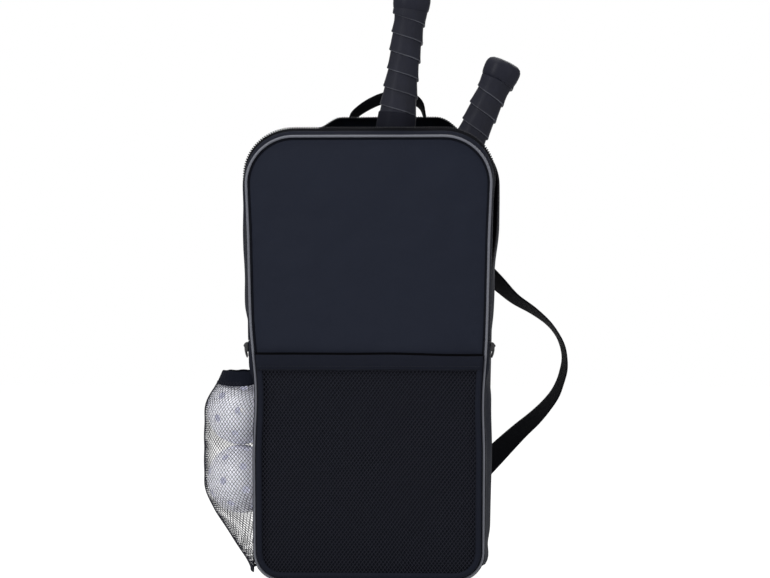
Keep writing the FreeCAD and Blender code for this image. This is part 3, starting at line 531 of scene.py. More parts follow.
# Each finish's maker, its colour or the user's colour of that name, and the maker's other values
FINISHES = {
    # The nylon gets painted shade below the front pocket's top, for the shadow behind the net.
    "nylon": (woven, "nylon", dict(specular=0.08, roughness=0.62, painted_shade_height=POCKET_TOP - 0.004)),
    "gusset nylon": (woven, "gusset", dict(specular=0.08)),
    "padded nylon": (woven, "nylon", dict(pitch=0.0012, specular=0.08, depth=0.0002)),
    "piping": (woven, "piping", dict(pitch=0.0009, specular=0.3, roughness=0.42, slant=0.6)),
    # Dark finish of the rear piping, its own colour, and of the painted groove shadow inside the front
    # piping.
    "dark piping": (woven, "gusset", dict(pitch=0.0009, specular=0.05, roughness=0.6, slant=0.6, dim=0.5)),
    # Near-black finish of the strip above the pocket's hem: painted shadow of the pocket's mouth.
    "pocket lining": (grained, (0.0008, 0.0008, 0.0012), dict(roughness=0.8, specular=0.02)),
    "netting": (grained, "net", dict(roughness=0.6, specular=0.10, grain=1500.0)),
    "hem": (ribbed, "gusset", dict(pitch=0.0011, roughness=0.75, specular=0.08)),
    "elastic": (ribbed, "gusset", dict(
        pitch=0.0016, across=True, roughness=0.8, specular=0.05, depth=0.0003, dim=0.8)),
    "zip tape": (ribbed, "webbing", dict(pitch=0.0012, roughness=0.75, specular=0.05, chevron=0.5)),
    "zip teeth": (grained, (0.006, 0.006, 0.008), dict(roughness=0.4, specular=0.2)),
    "enamel": (grained, (0.012, 0.012, 0.013), dict(roughness=0.38, specular=0.3, wear=1.2)),
    "webbing": (ribbed, "webbing", dict(
        pitch=0.0017, across=True, roughness=0.75, specular=0.05, chevron=0.4)),
    "thread": (grained, (0.010, 0.011, 0.016), dict(roughness=0.6, specular=0.1, grain=2500.0)),
    "folded net": (woven, (0.012, 0.012, 0.014), dict(pitch=0.004, roughness=0.85, depth=0.0006)),
    "grip tape": (grip_tape, "grip", {}),
    "collar rubber": (grained, (0.0042, 0.0045, 0.0078), dict(roughness=0.6, specular=0.05, grain=700.0)),
    "cap": (grained, "grip", dict(roughness=0.5, specular=0.11, grain=600.0, depth=0.0001)),
    "handle core": (grained, (0.03, 0.03, 0.032), dict(roughness=0.7, specular=0.3)),
    "paddle face": (paddle_face, "face", {}),
    "edge guard": (grained, (0.012, 0.012, 0.013), dict(roughness=0.45, specular=0.45)),
    "ball": (ball_plastic, "ball", {}),
}


def finish(name):
    """The named material, made the first time that it is asked for."""
    found = bpy.data.materials.get("Set bag " + name)
    if found:
        return found
    maker, colour, values = FINISHES[name]
    if isinstance(colour, str):
        colour = getattr(bpy.context.scene.set_bag_colours, colour)
    return maker(name, colour, **values)


def dress(node, look):
    """Give a CAD node that stays its own finish."""
    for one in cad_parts[node].material_slots:
        one.material = finish(look)


# Geometry trees

def repeated(graph, start):
    """Pieces of one shape spaced along a line, turned about Y to follow it."""
    curve = graph.out("GeometryNodeMeshToCurve", {"Mesh": start["Line"]})
    points = graph.node("GeometryNodeCurveToPoints", {
        "Curve": curve, "Length": start["Pitch"]}, mode="LENGTH").outputs
    turn = graph.out("FunctionNodeAlignRotationToVector", {
        "Vector": points["Tangent"]}, axis="X", pivot_axis="Y")
    shape = graph.out("GeometryNodeObjectInfo", {"Object": start["Shape"]}, "Geometry")
    return graph.out("GeometryNodeInstanceOnPoints", {
        "Points": points["Points"], "Instance": shape, "Rotation": turn})


def stranded(graph, start):
    """Round strands along every edge of a net."""
    curve = graph.out("GeometryNodeMeshToCurve", {"Mesh": start["Net"]})
    ring = graph.out("GeometryNodeCurvePrimitiveCircle", {
        "Resolution": start["Sides"], "Radius": start["Radius"]})
    return graph.out("GeometryNodeCurveToMesh", {"Curve": curve, "Profile Curve": ring})


def drilled(graph, start):
    """Round holes through a shell, one towards each point."""
    spot = graph.out("GeometryNodeInputPosition")
    turn = graph.out("FunctionNodeAlignRotationToVector", {"Vector": spot}, axis="Z")
    drill = graph.out("GeometryNodeMeshCylinder", {
        "Vertices": 24, "Radius": start["Radius"], "Depth": 0.012}, "Mesh")
    drills = graph.out("GeometryNodeInstanceOnPoints", {
        "Points": start["Holes"], "Instance": drill, "Rotation": turn})
    real = graph.out("GeometryNodeRealizeInstances", {"Geometry": drills})
    shell = graph.out("GeometryNodeObjectInfo", {"Object": start["Shell"]}, "Geometry")
    return graph.out("GeometryNodeMeshBoolean", {"Mesh 1": shell, "Mesh 2": real},
                     operation="DIFFERENCE", solver="EXACT")


# Each tree's maker and the sockets it takes, the geometry first
TREES = {
    "Along a line": (repeated, (("Line", "Geometry"), ("Shape", "Object"), ("Pitch", "Float"))),
    "Strands": (stranded, (("Net", "Geometry"), ("Radius", "Float"), ("Sides", "Int"))),
    "Perforations": (drilled, (("Holes", "Geometry"), ("Shell", "Object"), ("Radius", "Float"))),
}


def tree(name):
    """The named geometry tree, made the first time that it is asked for."""
    found = bpy.data.node_groups.get(name)
    if found:
        return found
    made = bpy.data.node_groups.new(name, "GeometryNodeTree")
    maker, inputs = TREES[name]
    for socket, kind in (*inputs, ("Material", "Material")):
        made.interface.new_socket(socket, in_out="INPUT", socket_type="NodeSocket" + kind)
    made.interface.new_socket("Result", in_out="OUTPUT", socket_type="NodeSocketGeometry")
    graph = Graph(made)
    start = graph.node("NodeGroupInput").outputs
    real = graph.out("GeometryNodeRealizeInstances", {"Geometry": maker(graph, start)})
    dressed = graph.out("GeometryNodeSetMaterial", {"Geometry": real, "Material": start["Material"]})
    graph.node("NodeGroupOutput", {0: dressed})
    return made


def grow(item, name, look, **inputs):
    """Run the named geometry tree on an object and keep the plain mesh."""
    step = item.modifiers.new("Grow", "NODES")
    step.node_group = tree(name)
    names = {socket.name: socket.identifier
             for socket in step.node_group.interface.items_tree if socket.in_out == "INPUT"}
    for socket, value in inputs.items():
        step[names[socket]] = value
    step[names["Material"]] = finish(look)
    settle(item)
    item.data.shade_smooth()
    return item


def along(name, points, pitch, size, look):
    """Small rounded blocks, as teeth or stitches, spaced along a line."""
    mesh = bpy.data.meshes.new(name + "_shape")
    with editing(mesh) as work:
        bmesh.ops.create_cube(work, size=1.0)
        bmesh.ops.scale(work, vec=size, verts=work.verts)
        bmesh.ops.bevel(work, geom=work.edges[:], offset=min(size) * 0.2, segments=1, affect="EDGES",
                        profile=0.5)
    shape = new_object(name + "_shape", mesh)
    item = plain(name, points, [(i, i + 1) for i in range(len(points) - 1)])
    grow(item, "Along a line", look, Shape=shape, Pitch=pitch)
    drop(shape)
    return item


# Shapes that several pieces share

def outline_half(z, top, corner, inset=0.0):
    """Half width of the bag's rounded outline at a height."""
    for centre_z, radius, side in ((top - corner, corner, 1), (FOOT_CORNER, FOOT_CORNER, -1)):
        if (z - centre_z) * side > 0:
            centre_x = half_width(centre_z) - radius / math.cos(LEAN)
            reach = radius - inset
            return centre_x + math.sqrt(max(0.0, reach * reach - (z - centre_z) ** 2))
    return half_width(z) - inset


def outline_rows(top, corner, step, inset=0.0):
    """Heights from the underside to the top, closer together where the outline is round."""
    turns = 14
    low = [FOOT_CORNER - (FOOT_CORNER - inset) * math.cos(math.pi / 2 * i / turns) for i in range(turns)]
    straight = top - corner - FOOT_CORNER
    count = math.ceil(straight / step)
    middle = [FOOT_CORNER + straight * i / count for i in range(count)]
    high = [top - corner + (corner - inset) * math.sin(math.pi / 2 * i / turns) for i in range(turns + 1)]
    return low + middle + high


def edge_distance(x, z, top, corner):
    return min(outline_half(z, top, corner) - abs(x), top - z, z)


def circle(radius, count):
    """(cosine, sine) parts of points on a circle."""
    turns = [2 * math.pi * i / count for i in range(count)]
    return [(radius * math.cos(turn), radius * math.sin(turn)) for turn in turns]


def tube(name, points, radius, closed=False):
    """Round bead along (x, y, z, nx, nz) points that lie in one upright plane."""
    ring = circle(radius, 10)
    rows = [[(x + nx * out, y + deep, z + nz * out) for out, deep in ring] for x, y, z, nx, nz in points]
    return turn_outwards(grid(name, rows + rows[:1], wrap=True)) if closed else rod(name, rows)


def band(name, centres, acrosses, width, thickness, steps=6, bow=0.0):
    """Webbing along a line of centres, each with the direction of its width."""
    rows, last = [], len(centres) - 1
    for i, (centre, across) in enumerate(zip(centres, acrosses)):
        ahead = (centres[min(i + 1, last)] - centres[max(i - 1, 0)]).normalized()
        across = (across - ahead * across.dot(ahead)).normalized()
        up = across.cross(ahead).normalized()
        upper, lower = [], []
        for share in spread(steps + 1):
            edge = thickness / 2 * (1.0 - 0.55 * abs(share) ** 8)
            middle = centre + across * (width / 2 * share) + up * (bow * (1.0 - share * share))
            upper.append(tuple(middle + up * edge))
            lower.append(tuple(middle - up * edge))
        rows.append(upper + lower[::-1])
    return rod(name, rows)


def through(points, step):
    """Even points on a smooth curve through the given ones."""
    padded = [points[0] * 2 - points[1]] + points + [points[-1] * 2 - points[-2]]
    dense = []
    for i in range(1, len(padded) - 2):
        a, b, c, d = padded[i - 1:i + 3]
        for k in range(24):
            t = k / 24
            dense.append(0.5 * ((2 * b) + (c - a) * t + (2 * a - 5 * b + 4 * c - d) * t ** 2
                                + (3 * b - a - 3 * c + d) * t ** 3))
    dense.append(points[-1])
    even, spare = [dense[0]], 0.0
    for before, after in zip(dense, dense[1:]):
        spare += (after - before).length
        if spare >= step:
            even.append(after)
            spare = 0.0
    if (even[-1] - dense[-1]).length > step * 0.3:
        even.append(dense[-1])
    return even


def leaning(item, place_at, tilt):
    """Move a piece from the upright handle's own place to the paddle's."""
    item.data.transform(Matrix.Translation(place_at) @ Matrix.Rotation(math.radians(tilt), 4, "Y"))
    return item


def front_swell(x, z):
    """How far the front cloth stands out from flat."""
    near = edge_distance(x, z, FRONT_TOP, FRONT_CORNER) - drawn_in(z, x)
    body = 0.0032 * smooth(near, 0.0, 0.075)
    folds = 0.0016 * ripple(x, 0.0, z, 0.085, 3.1) + 0.0007 * ripple(x + z, 0.0, z - x, 0.033, 8.0)
    pucker = 0.0006 * ripple(x, 0.0, z, 0.011, 5.0) * (1.0 - smooth(near, 0.004, 0.030))
    return (body + folds * smooth(near, 0.0, 0.03) + pucker) * smooth(near, 0.0, 0.006)


def rear_edge_y(z):
    return lerp(REAR_TAPE_Y, MOUTH_REAR_Y, smooth(z, ZIP_CLOSED_Z, ZIP_OPEN_Z))


def rear_stand(x, z):
    """How far the open rear edge of the mouth stands out."""
    side = 0.005 * smooth(z, ZIP_CLOSED_Z, ZIP_CLOSED_Z + 0.060)
    side *= 1.0 - smooth(z, BACK_TOP - BACK_CORNER, BACK_TOP)
    crown = 0.0125 * smooth(x, -0.062, -0.034) * (1.0 - smooth(x, 0.070, 0.102))
    return side + crown * smooth(z, BACK_TOP - 0.020, BACK_TOP)


def front_stand(z, y):
    share = (y - INNER_FRONT_Y) / (-0.035 - INNER_FRONT_Y)
    return 0.009 * share * smooth(z, FRONT_TOP - 0.075, FRONT_TOP)


def near_front(y):
    """1 at the front seam, falling to 0 at the zip."""
    return 1.0 - smooth(y, -0.0455, -0.0412)


def side_bulge(y, z):
    """How far the right side stands out behind the closed zip, at its most in the middle of the depth."""
    share = min(1.0, max(0.0, (y - REAR_TAPE_Y) / (BACK_Y - 0.003 - REAR_TAPE_Y)))
    full = lerp(0.0064, 0.0, smooth(z, 0.190, 0.240)) + 0.0018 * smooth(z, 0.250, 0.300)
    full *= 1.0 - 0.22 * (1.0 - smooth(z, 0.100, 0.170)) - 0.40 * math.exp(-((z - 0.036) / 0.012) ** 2)
    return full * math.sin(math.pi * share) ** 1.3 * smooth(z, 0.0, 0.022)


def mouth_strip(name, stations, profile, thickness):
    """Cloth strip round the mouth, from (y, outward) points at each station."""
    rows = []
    for x, z, nx, nz in stations:
        row = [(y, out + 0.0005 * ripple(x, y, z, 0.024, 1.7)) for y, out in profile(x, z)]
        rows.append([(x + nx * out, y, z + nz * out) for y, out in row])
    return cloth(name, rows, thickness)


# Sizes and colours that a user may change

def length(name, words, default, low, high):
    return FloatProperty(name=name, description=words, default=default, min=low, max=high, unit="LENGTH")


def paint(name, words, *default):
    return FloatVectorProperty(
        name=name, description="Colour of " + words, subtype="COLOR", size=3, default=default)


class BagSizes(PropertyGroup):
    """Sizes of the fine detail."""

    front_net: length("Front net", "Width of one diamond of the front pocket's net", 0.0039, 0.001, 0.02)
    side_net: length("Side net", "Width of one diamond of the ball pocket's net", 0.0039, 0.001, 0.02)
    front_strand: length("Front strand", "Radius of the front net's strands", 0.00040, 0.0001, 0.002)
    side_strand: length("Side strand", "Radius of the ball pocket's strands", 0.00026, 0.0001, 0.002)
    tooth_pitch: length("Tooth pitch", "Distance between zip teeth", 0.0026, 0.001, 0.01)
    stitch_pitch: length("Stitch pitch", "Distance between stitches", 0.0032, 0.001, 0.01)
    weave_pitch: length("Weave pitch", "Distance between threads of the nylon", 0.0007, 0.0002, 0.005)
    piping: length("Piping radius", "Radius of the piping bead", 0.0014, 0.0008, 0.004)
    hole: length("Ball hole", "Radius of each hole in the balls", 0.0042, 0.001, 0.01)
    wrap_pitch: length("Wrap pitch", "Rise of the grip tape in one turn", 0.0196, 0.01, 0.04)
    net_layers: IntProperty(name="Net layers", description="Layers in the front stack of the folded net",
                            default=7, min=3, max=14)


class BagColours(PropertyGroup):
    """Colours of the finishes."""

    nylon: paint("Nylon", "the front, sides and back", 0.0067, 0.0086, 0.0158)
    gusset: paint("Gusset", "the cloth strips round the mouth", 0.0050, 0.0062, 0.0115)
    piping: paint("Piping", "the piping round the front", 0.088, 0.092, 0.110)
    net: paint("Net", "both pocket nets", 0.0120, 0.0126, 0.0195)
    webbing: paint("Webbing", "the strap and the haul loop", 0.0022, 0.0024, 0.0036)
    grip: paint("Grip tape", "the wound grips", 0.0072, 0.0078, 0.0135)
    ball: paint("Ball", "the balls", 0.88, 0.885, 1.0)
    face: paint("Paddle face", "the paddle faces", 0.045, 0.052, 0.065)


def sizes():
    return bpy.context.scene.set_bag_sizes


# Pieces

def make_front_cloth():
    """Front nylon in one piece."""
    rows = []
    for z in outline_rows(FRONT_TOP, FRONT_CORNER, 0.0042):
        half = outline_half(z, FRONT_TOP, FRONT_CORNER)
        across = [share * (half - drawn_in(z, share)) for share in spread(65)]
        rows.append([(x, FRONT_Y + 0.0009 - front_swell(x, z), z) for x in across])
    item = cloth("front_cloth", rows, NYLON)
    fold_with_flap(item)
    place(item, None, "nylon", "nylon", "front_panel_lower", "flap_panel")


def hollow_x(y, z):
    """X that keeps the left side clear of the balls and of their way out, or a far value."""
    reach = BALL_RADIUS + 0.0018
    left = reach * reach - y * y
    low = BALL_HEIGHTS[1]
    if z < low:
        left -= (z - low) ** 2
    if left <= 0.0:
        return -1.0
    wide = math.sqrt(left)
    if z > BALL_HEIGHTS[0]:
        tilt = math.radians(30.0)
        return BALL_X + (wide - (z - BALL_HEIGHTS[0]) * math.sin(tilt)) / math.cos(tilt)
    return BALL_X + wide


def soft_most(a, b, blend_width):
    share = max(0.0, blend_width - abs(a - b)) / blend_width
    return max(a, b) + share * share * blend_width / 4


def make_side_cloth():
    """Sides and underside, with the hollow that the balls press into the left side."""
    columns = [-0.0470, -0.0440, FRONT_TAPE_Y, -0.038, -0.0345, -0.031]
    columns += [lerp(REAR_TAPE_Y, 0.0468, share) for share in shares(21)]
    rows = []
    for x, z, nx, nz in under_foot(FOLD.z - 0.0003, 0.0040, 0.0009):
        row = []
        for y in columns:
            middle = 1.0 - (abs(y) / 0.048) ** 4
            out = 0.0010 * ripple(x, y, z, 0.055, 6.0) * middle
            out += 0.0005 * ripple(x, y, z, 0.012, 2.0) * (1.0 - middle)
            if abs(nz) < 0.5:
                bulge = 0.0 if x < 0 else side_bulge(y, z)
                out += bulge - drawn_in(z, x) * max(near_front(y), 1.0 - smooth(z, 0.205, 0.232))
            px, pz = x + nx * out, z + nz * out
            row.append((soft_most(px, hollow_x(y, z), 0.004) if x < 0 else px, y, pz))
        rows.append(row)
    sheet = grid("side_cloth", rows)
    with editing(sheet.data) as work:
        middles = [(face, face.calc_center_median()) for face in work.faces]
        behind_zip = [face for face, middle in middles
                      if middle.z > TAPE_FOOT_Z + 0.0005 and FRONT_TAPE_Y < middle.y < REAR_TAPE_Y]
        bmesh.ops.delete(work, geom=behind_zip, context="FACES")
    place(thicken(sheet, NYLON), "bag", "gusset nylon", "gusset_nylon",
          "side_panel_left", "side_panel_right", "bottom_panel")


def make_back_pad():
    """Padded back with sewn channels, pulled thin at its edge."""
    middle = (BACK_Y + INNER_BACK_Y) / 2
    rows = []
    for z in outline_rows(BACK_TOP, BACK_CORNER, 0.0050):
        back, front = [], []
        for share in spread(57):
            x = outline_half(z, BACK_TOP, BACK_CORNER) * share
            near = edge_distance(x, z, BACK_TOP, BACK_CORNER)
            full = 0.00245 * math.sqrt(max(0.0, min(1.0, near / 0.012)))
            groove = min(abs(abs(x) - 0.045), abs(x), abs(z - 0.13), abs(z - 0.36))
            press = 0.0017 * (1.0 - smooth(groove, 0.0, 0.008)) * smooth(near, 0.0, 0.02)
            wave = 0.0005 * ripple(x, 0.0, z, 0.040, 4.0) * smooth(near, 0.0, 0.02)
            back.append((x, middle + full - press + min(0.0, wave), z))
            front.append((x, middle - full + press * 0.3, z))
        rows.append(back + front[::-1])
    item = turn_outwards(grid("back_pad", rows, wrap=True))
    place(item, "bag", "padded nylon", "padded_nylon", "back_panel")


def gusset_profile(x, z):
    """Rear strip from the back panel to the open edge, with its belly and a little slack."""
    edge = rear_edge_y(z)
    high = 1.0 - smooth(z, BACK_TOP - BACK_CORNER, BACK_TOP)
    low = smooth(z, FOLD.z, FOLD.z + (0.040 if x < 0 else 0.070))
    belly = 0.030 if x < 0 else 0.0115
    points = []
    for share in shares(15):
        y = lerp(INNER_BACK_Y + 0.002, edge, share)
        slack = lerp(0.0 if x < 0 else side_bulge(y, z), belly * share * (1.0 - share), low) * high
        slack += 0.0012 * ripple(x, y, z, 0.05, 9.0) * math.sin(math.pi * share)
        points.append((y, rear_stand(x, z) * share + slack - STRIP_IN))
    return points


def make_rear_gusset():
    item = mouth_strip("rear_gusset_cloth", REAR_MOUTH, gusset_profile, GUSSET)
    place(item, "bag", "gusset nylon", "gusset_nylon", "rear_gusset")


def make_flap_gusset():
    def profile(x, z):
        return [(y, front_stand(z, y) - STRIP_IN - drawn_in(z, x) * near_front(y))
                for y in (FRONT_Y + 0.0012, -0.0452, -0.0438, -0.0424, FRONT_TAPE_Y)]

    item = mouth_strip("flap_gusset_cloth", FRONT_MOUTH, profile, GUSSET)
    place(item, "flap", "gusset nylon", "gusset_nylon", "flap_gusset")


def low_tape(side, y_low, y_high):
    """Straight run of zip tape below the fold, where the zip is closed."""
    heights = [lerp(TAPE_FOOT_Z, FOLD.z, share) for share in shares(8)]
    across = [lerp(y_low, y_high, share) for share in shares(4)]
    rows = [[(side * (half_width(z) - STRIP_IN), y, z) for y in across] for z in heights]
    return cloth("low_tape", rows, TAPE)


def make_zip():
    """Tapes and teeth of both rows. The left and right runs below the fold stay with the bag."""
    def front_profile(x, z):
        return [(y, front_stand(z, y) - STRIP_IN) for y in (FRONT_TAPE_Y - 0.001, -0.0397, -0.0384, -0.0371)]

    def rear_profile(x, z):
        out = rear_stand(x, z) - STRIP_IN
        return [(rear_edge_y(z) + back, out) for back in (0.001, -0.0013, -0.0026, -0.0039)]

    def teeth(name, line):
        return along(name, line, sizes().tooth_pitch, TOOTH, "zip teeth")

    tape = mouth_strip("front_tape", FRONT_MOUTH, front_profile, TAPE)
    place(tape, "flap", "zip tape", "zip_tape", "zip_tape_front")
    parts = [mouth_strip("rear_tape_upper", REAR_MOUTH, rear_profile, TAPE)]
    for side in (1, -1):
        parts += [low_tape(side, FRONT_TAPE_Y, -0.0371), low_tape(side, -0.0309, REAR_TAPE_Y)]
    place(join("rear_tape", parts), "bag", "zip tape", "zip_tape", "zip_tape_rear")

    line = []
    for x, z, nx, nz in FRONT_MOUTH:
        out = front_stand(z, -0.036) - STRIP_IN
        if z > TEETH_FOOT_Z:
            line.append((x + nx * out, FRONT_TEETH_Y, z + nz * out))
    place(teeth("front_teeth", line), "flap", "zip teeth", "zip_teeth", "zip_teeth_front")
    line = []
    for x, z, nx, nz in REAR_MOUTH:
        out = rear_stand(x, z) - STRIP_IN
        if z > TEETH_FOOT_Z:
            line.append((x + nx * out, rear_edge_y(z) - 0.0049, z + nz * out))
    parts = [teeth("rear_teeth_upper", line)]
    for side in (1, -1):
        for y in (FRONT_TEETH_Y, LOW_TEETH_Y):
            line = [(side * (half_width(z) - STRIP_IN), y, z) for z in (0.2450, 0.2560)]
            parts.append(teeth("rear_teeth_low", line))
    place(join("rear_teeth", parts), "bag", "zip teeth", "zip_teeth", "zip_teeth_rear")
    dress("zip_stops", "enamel")
    make_slider("left", -1)
    make_slider("right", 1)


def beside_zip(side, out, y, up):
    """World place of a point in a slider's own frame: out from the wall and up along it."""
    out, up = out - PIN_OUT, up - PIN_UP
    x = PIN.x + out * math.cos(LEAN) + up * math.sin(LEAN)
    return (side * x, y, PIN.z - out * math.sin(LEAN) + up * math.cos(LEAN))


def round_pin(radius, count):
    return [(PIN_OUT + out, PIN_UP + up) for out, up in circle(radius, count)]


# (out, up) outlines of a slider's flat parts, each with its shift and half thickness along Y and its bevel
CHEEK = ((0.0024, 0.0006), (0.0034, 0.0012), (0.0047, 0.0030), (0.0056, 0.0050), (0.0060, 0.0070),
         (0.0058, 0.0086), (0.0048, 0.0100), (0.0036, 0.0107), (0.0024, 0.0108))
SLIDER_PARTS = (
    (((0.0016, 0.0), (0.0028, 0.0008), (0.0028, 0.0102), (0.0016, 0.0110)), 0.0, 0.0052, 0.0003),
    (((-0.0028, 0.0), (-0.0016, 0.0008), (-0.0016, 0.0102), (-0.0028, 0.0110)), 0.0, 0.0052, 0.0003),
    (((-0.0018, 0.0065), (0.0018, 0.0065), (0.0018, 0.0108), (-0.0018, 0.0108)), 0.0, 0.0006, 0.0001),
    (CHEEK, -0.0026, 0.0008, 0.0003),
    (CHEEK, 0.0026, 0.0008, 0.0003),
    (round_pin(0.0007, 12), 0.0, 0.0024, 0.0001),
)
# Sections of the pull: out, up, half width and half thickness
LEAF = ((0.0052, 0.0058, 0.0012, 0.0006), (0.0050, 0.0040, 0.0012, 0.0009),
        (0.0046, 0.0018, 0.0013, 0.0012), (0.0042, 0.0002, 0.0024, 0.0013),
        (0.0038, -0.0015, 0.0028, 0.0014), (0.0034, -0.0035, 0.0026, 0.0012),
        (0.0031, -0.0050, 0.0018, 0.0009), (0.0030, -0.0060, 0.0008, 0.0004))


def pressed(side, outline, shift, half, bevel):
    """Flat metal part from its (out, up) outline, with soft edges."""
    mesh = bpy.data.meshes.new("slider_part")
    with editing(mesh) as work:
        ends = (SLIDER_Y + shift - half, SLIDER_Y + shift + half)
        low, high = [[work.verts.new(beside_zip(side, out, y, up)) for out, up in outline] for y in ends]
        work.faces.new(low)
        work.faces.new(high)
        for i in range(len(outline)):
            work.faces.new((low[i - 1], low[i], high[i], high[i - 1]))
        bmesh.ops.recalc_face_normals(work, faces=work.faces)
        bmesh.ops.bevel(work, geom=work.edges[:], offset=bevel, segments=2, affect="EDGES", profile=0.5,
                        clamp_overlap=True)
    mesh.shade_smooth()
    return new_object("slider_part", mesh)


def make_slider(word, side):
    """Slider with two plates and cheeks that carry the pin, and the leaf that hangs from it."""
    item = join("zip_slider_body_" + word, [pressed(side, *part) for part in SLIDER_PARTS])
    place(item, "slider_" + word, "enamel", "zip_metal", "zip_slider_" + word)

    ring = []
    for out, up in round_pin(0.0013, 20):
        x, y, z = beside_zip(side, out, SLIDER_Y, up)
        away = Vector((x - side * PIN.x, z - PIN.z)).normalized()
        ring.append((x, y, z, away.x, away.y))
    rows = []
    for out, up, wide, thick in LEAF:
        rows.append([beside_zip(side, out + thick * cosine, SLIDER_Y + wide * sine, up)
                     for cosine, sine in circle(1.0, 16)])
    parts = [tube("puller_part", ring, 0.0004, closed=True), rod("puller_part", rows)]
    item = join("zip_puller_leaf_" + word, parts)
    place(item, "puller_" + word, "enamel", "zip_metal", "zip_puller_" + word)


# How far inward and how high each line lies of the dark strip along the piping's inner side, a painted
# shadow of the groove between bead and front cloth
SEAM_SHADOW_STRIP = ((-0.0018, 0.0), (-0.0008, 0.0009), (0.0010, 0.0012), (0.0022, 0.0010), (0.0030, 0.0006),
          (0.0036, 0.0001))


def make_piping():
    """Piping bead round the front and the darker one round the back."""
    step, inset, radius = 0.0032, 0.0022, sizes().piping
    loop = over_top(FRONT_TOP, FRONT_CORNER, FOLD.z, step, inset)[:-1]
    loop += under_foot(FOLD.z, step, inset)[:-1]
    loop = [(pulled_in(x, z), z, nx, nz) for x, z, nx, nz in loop]
    # The dark strip inside the front piping is painted shadow of the groove between the bead and the front
    # cloth.
    rows = [[(x - nx * deep, FRONT_Y - high, z - nz * deep) for deep, high in SEAM_SHADOW_STRIP]
            for x, z, nx, nz in loop + loop[:1]]
    item = cloth("front_seam_edge", rows, 0.0006)
    fold_with_flap(item)
    place(item, None, "dark piping", "piping_dark")
    y = FRONT_Y - 0.0012 - radius
    item = tube("front_piping", [(x, y, z, nx, nz) for x, z, nx, nz in loop], radius, closed=True)
    fold_with_flap(item)
    place(item, None, "piping", "piping", "piping_lower", "piping_upper")
    loop = over_top(BACK_TOP, BACK_CORNER, 0.0362, step, 0.0018)
    item = tube("rear_piping", [(x, BACK_Y + 0.0006, z, nx, nz) for x, z, nx, nz in loop], radius + 0.0008)
    place(item, "bag", "dark piping", "piping_dark", "piping_rear")


def pocket_bulge(x, z):
    """How far the front net stands out, slack in the middle and tight at its seams."""
    near = min(outline_half(z, FRONT_TOP, FRONT_CORNER, POCKET_INSET) - abs(x), z - POCKET_INSET)
    slack = 0.0035 * smooth(near, 0.0, 0.06) * (1.0 - 0.6 * smooth(z, 0.17, 0.235))
    return slack + 0.0011 * ripple(x, 0.0, z, 0.06, 7.0) * smooth(near, 0.0, 0.03)


def diamonds(name, rows, width, spot):
    """Edges of a net of diamonds. spot(u, v) gives the place on the surface, or None outside it."""
    points, edges, index = [], [], {}
    for i in range(rows + 1):
        for j in range(math.ceil(width) + 2):
            point = spot(j + 0.5 * (i % 2), i)
            if point is not None:
                index[i, j] = len(points)
                points.append(point)
    for (i, j), here in index.items():
        for k in ((j, j + 1) if i % 2 else (j - 1, j)):
            if (i + 1, k) in index:
                edges.append((here, index[i + 1, k]))
    return plain(name, points, edges)


def hem_y(x, depth):
    """Y of the pocket's hem, which follows the net's swell."""
    return POCKET_Y - depth - pocket_bulge(x, POCKET_TOP - 0.02) * 0.8


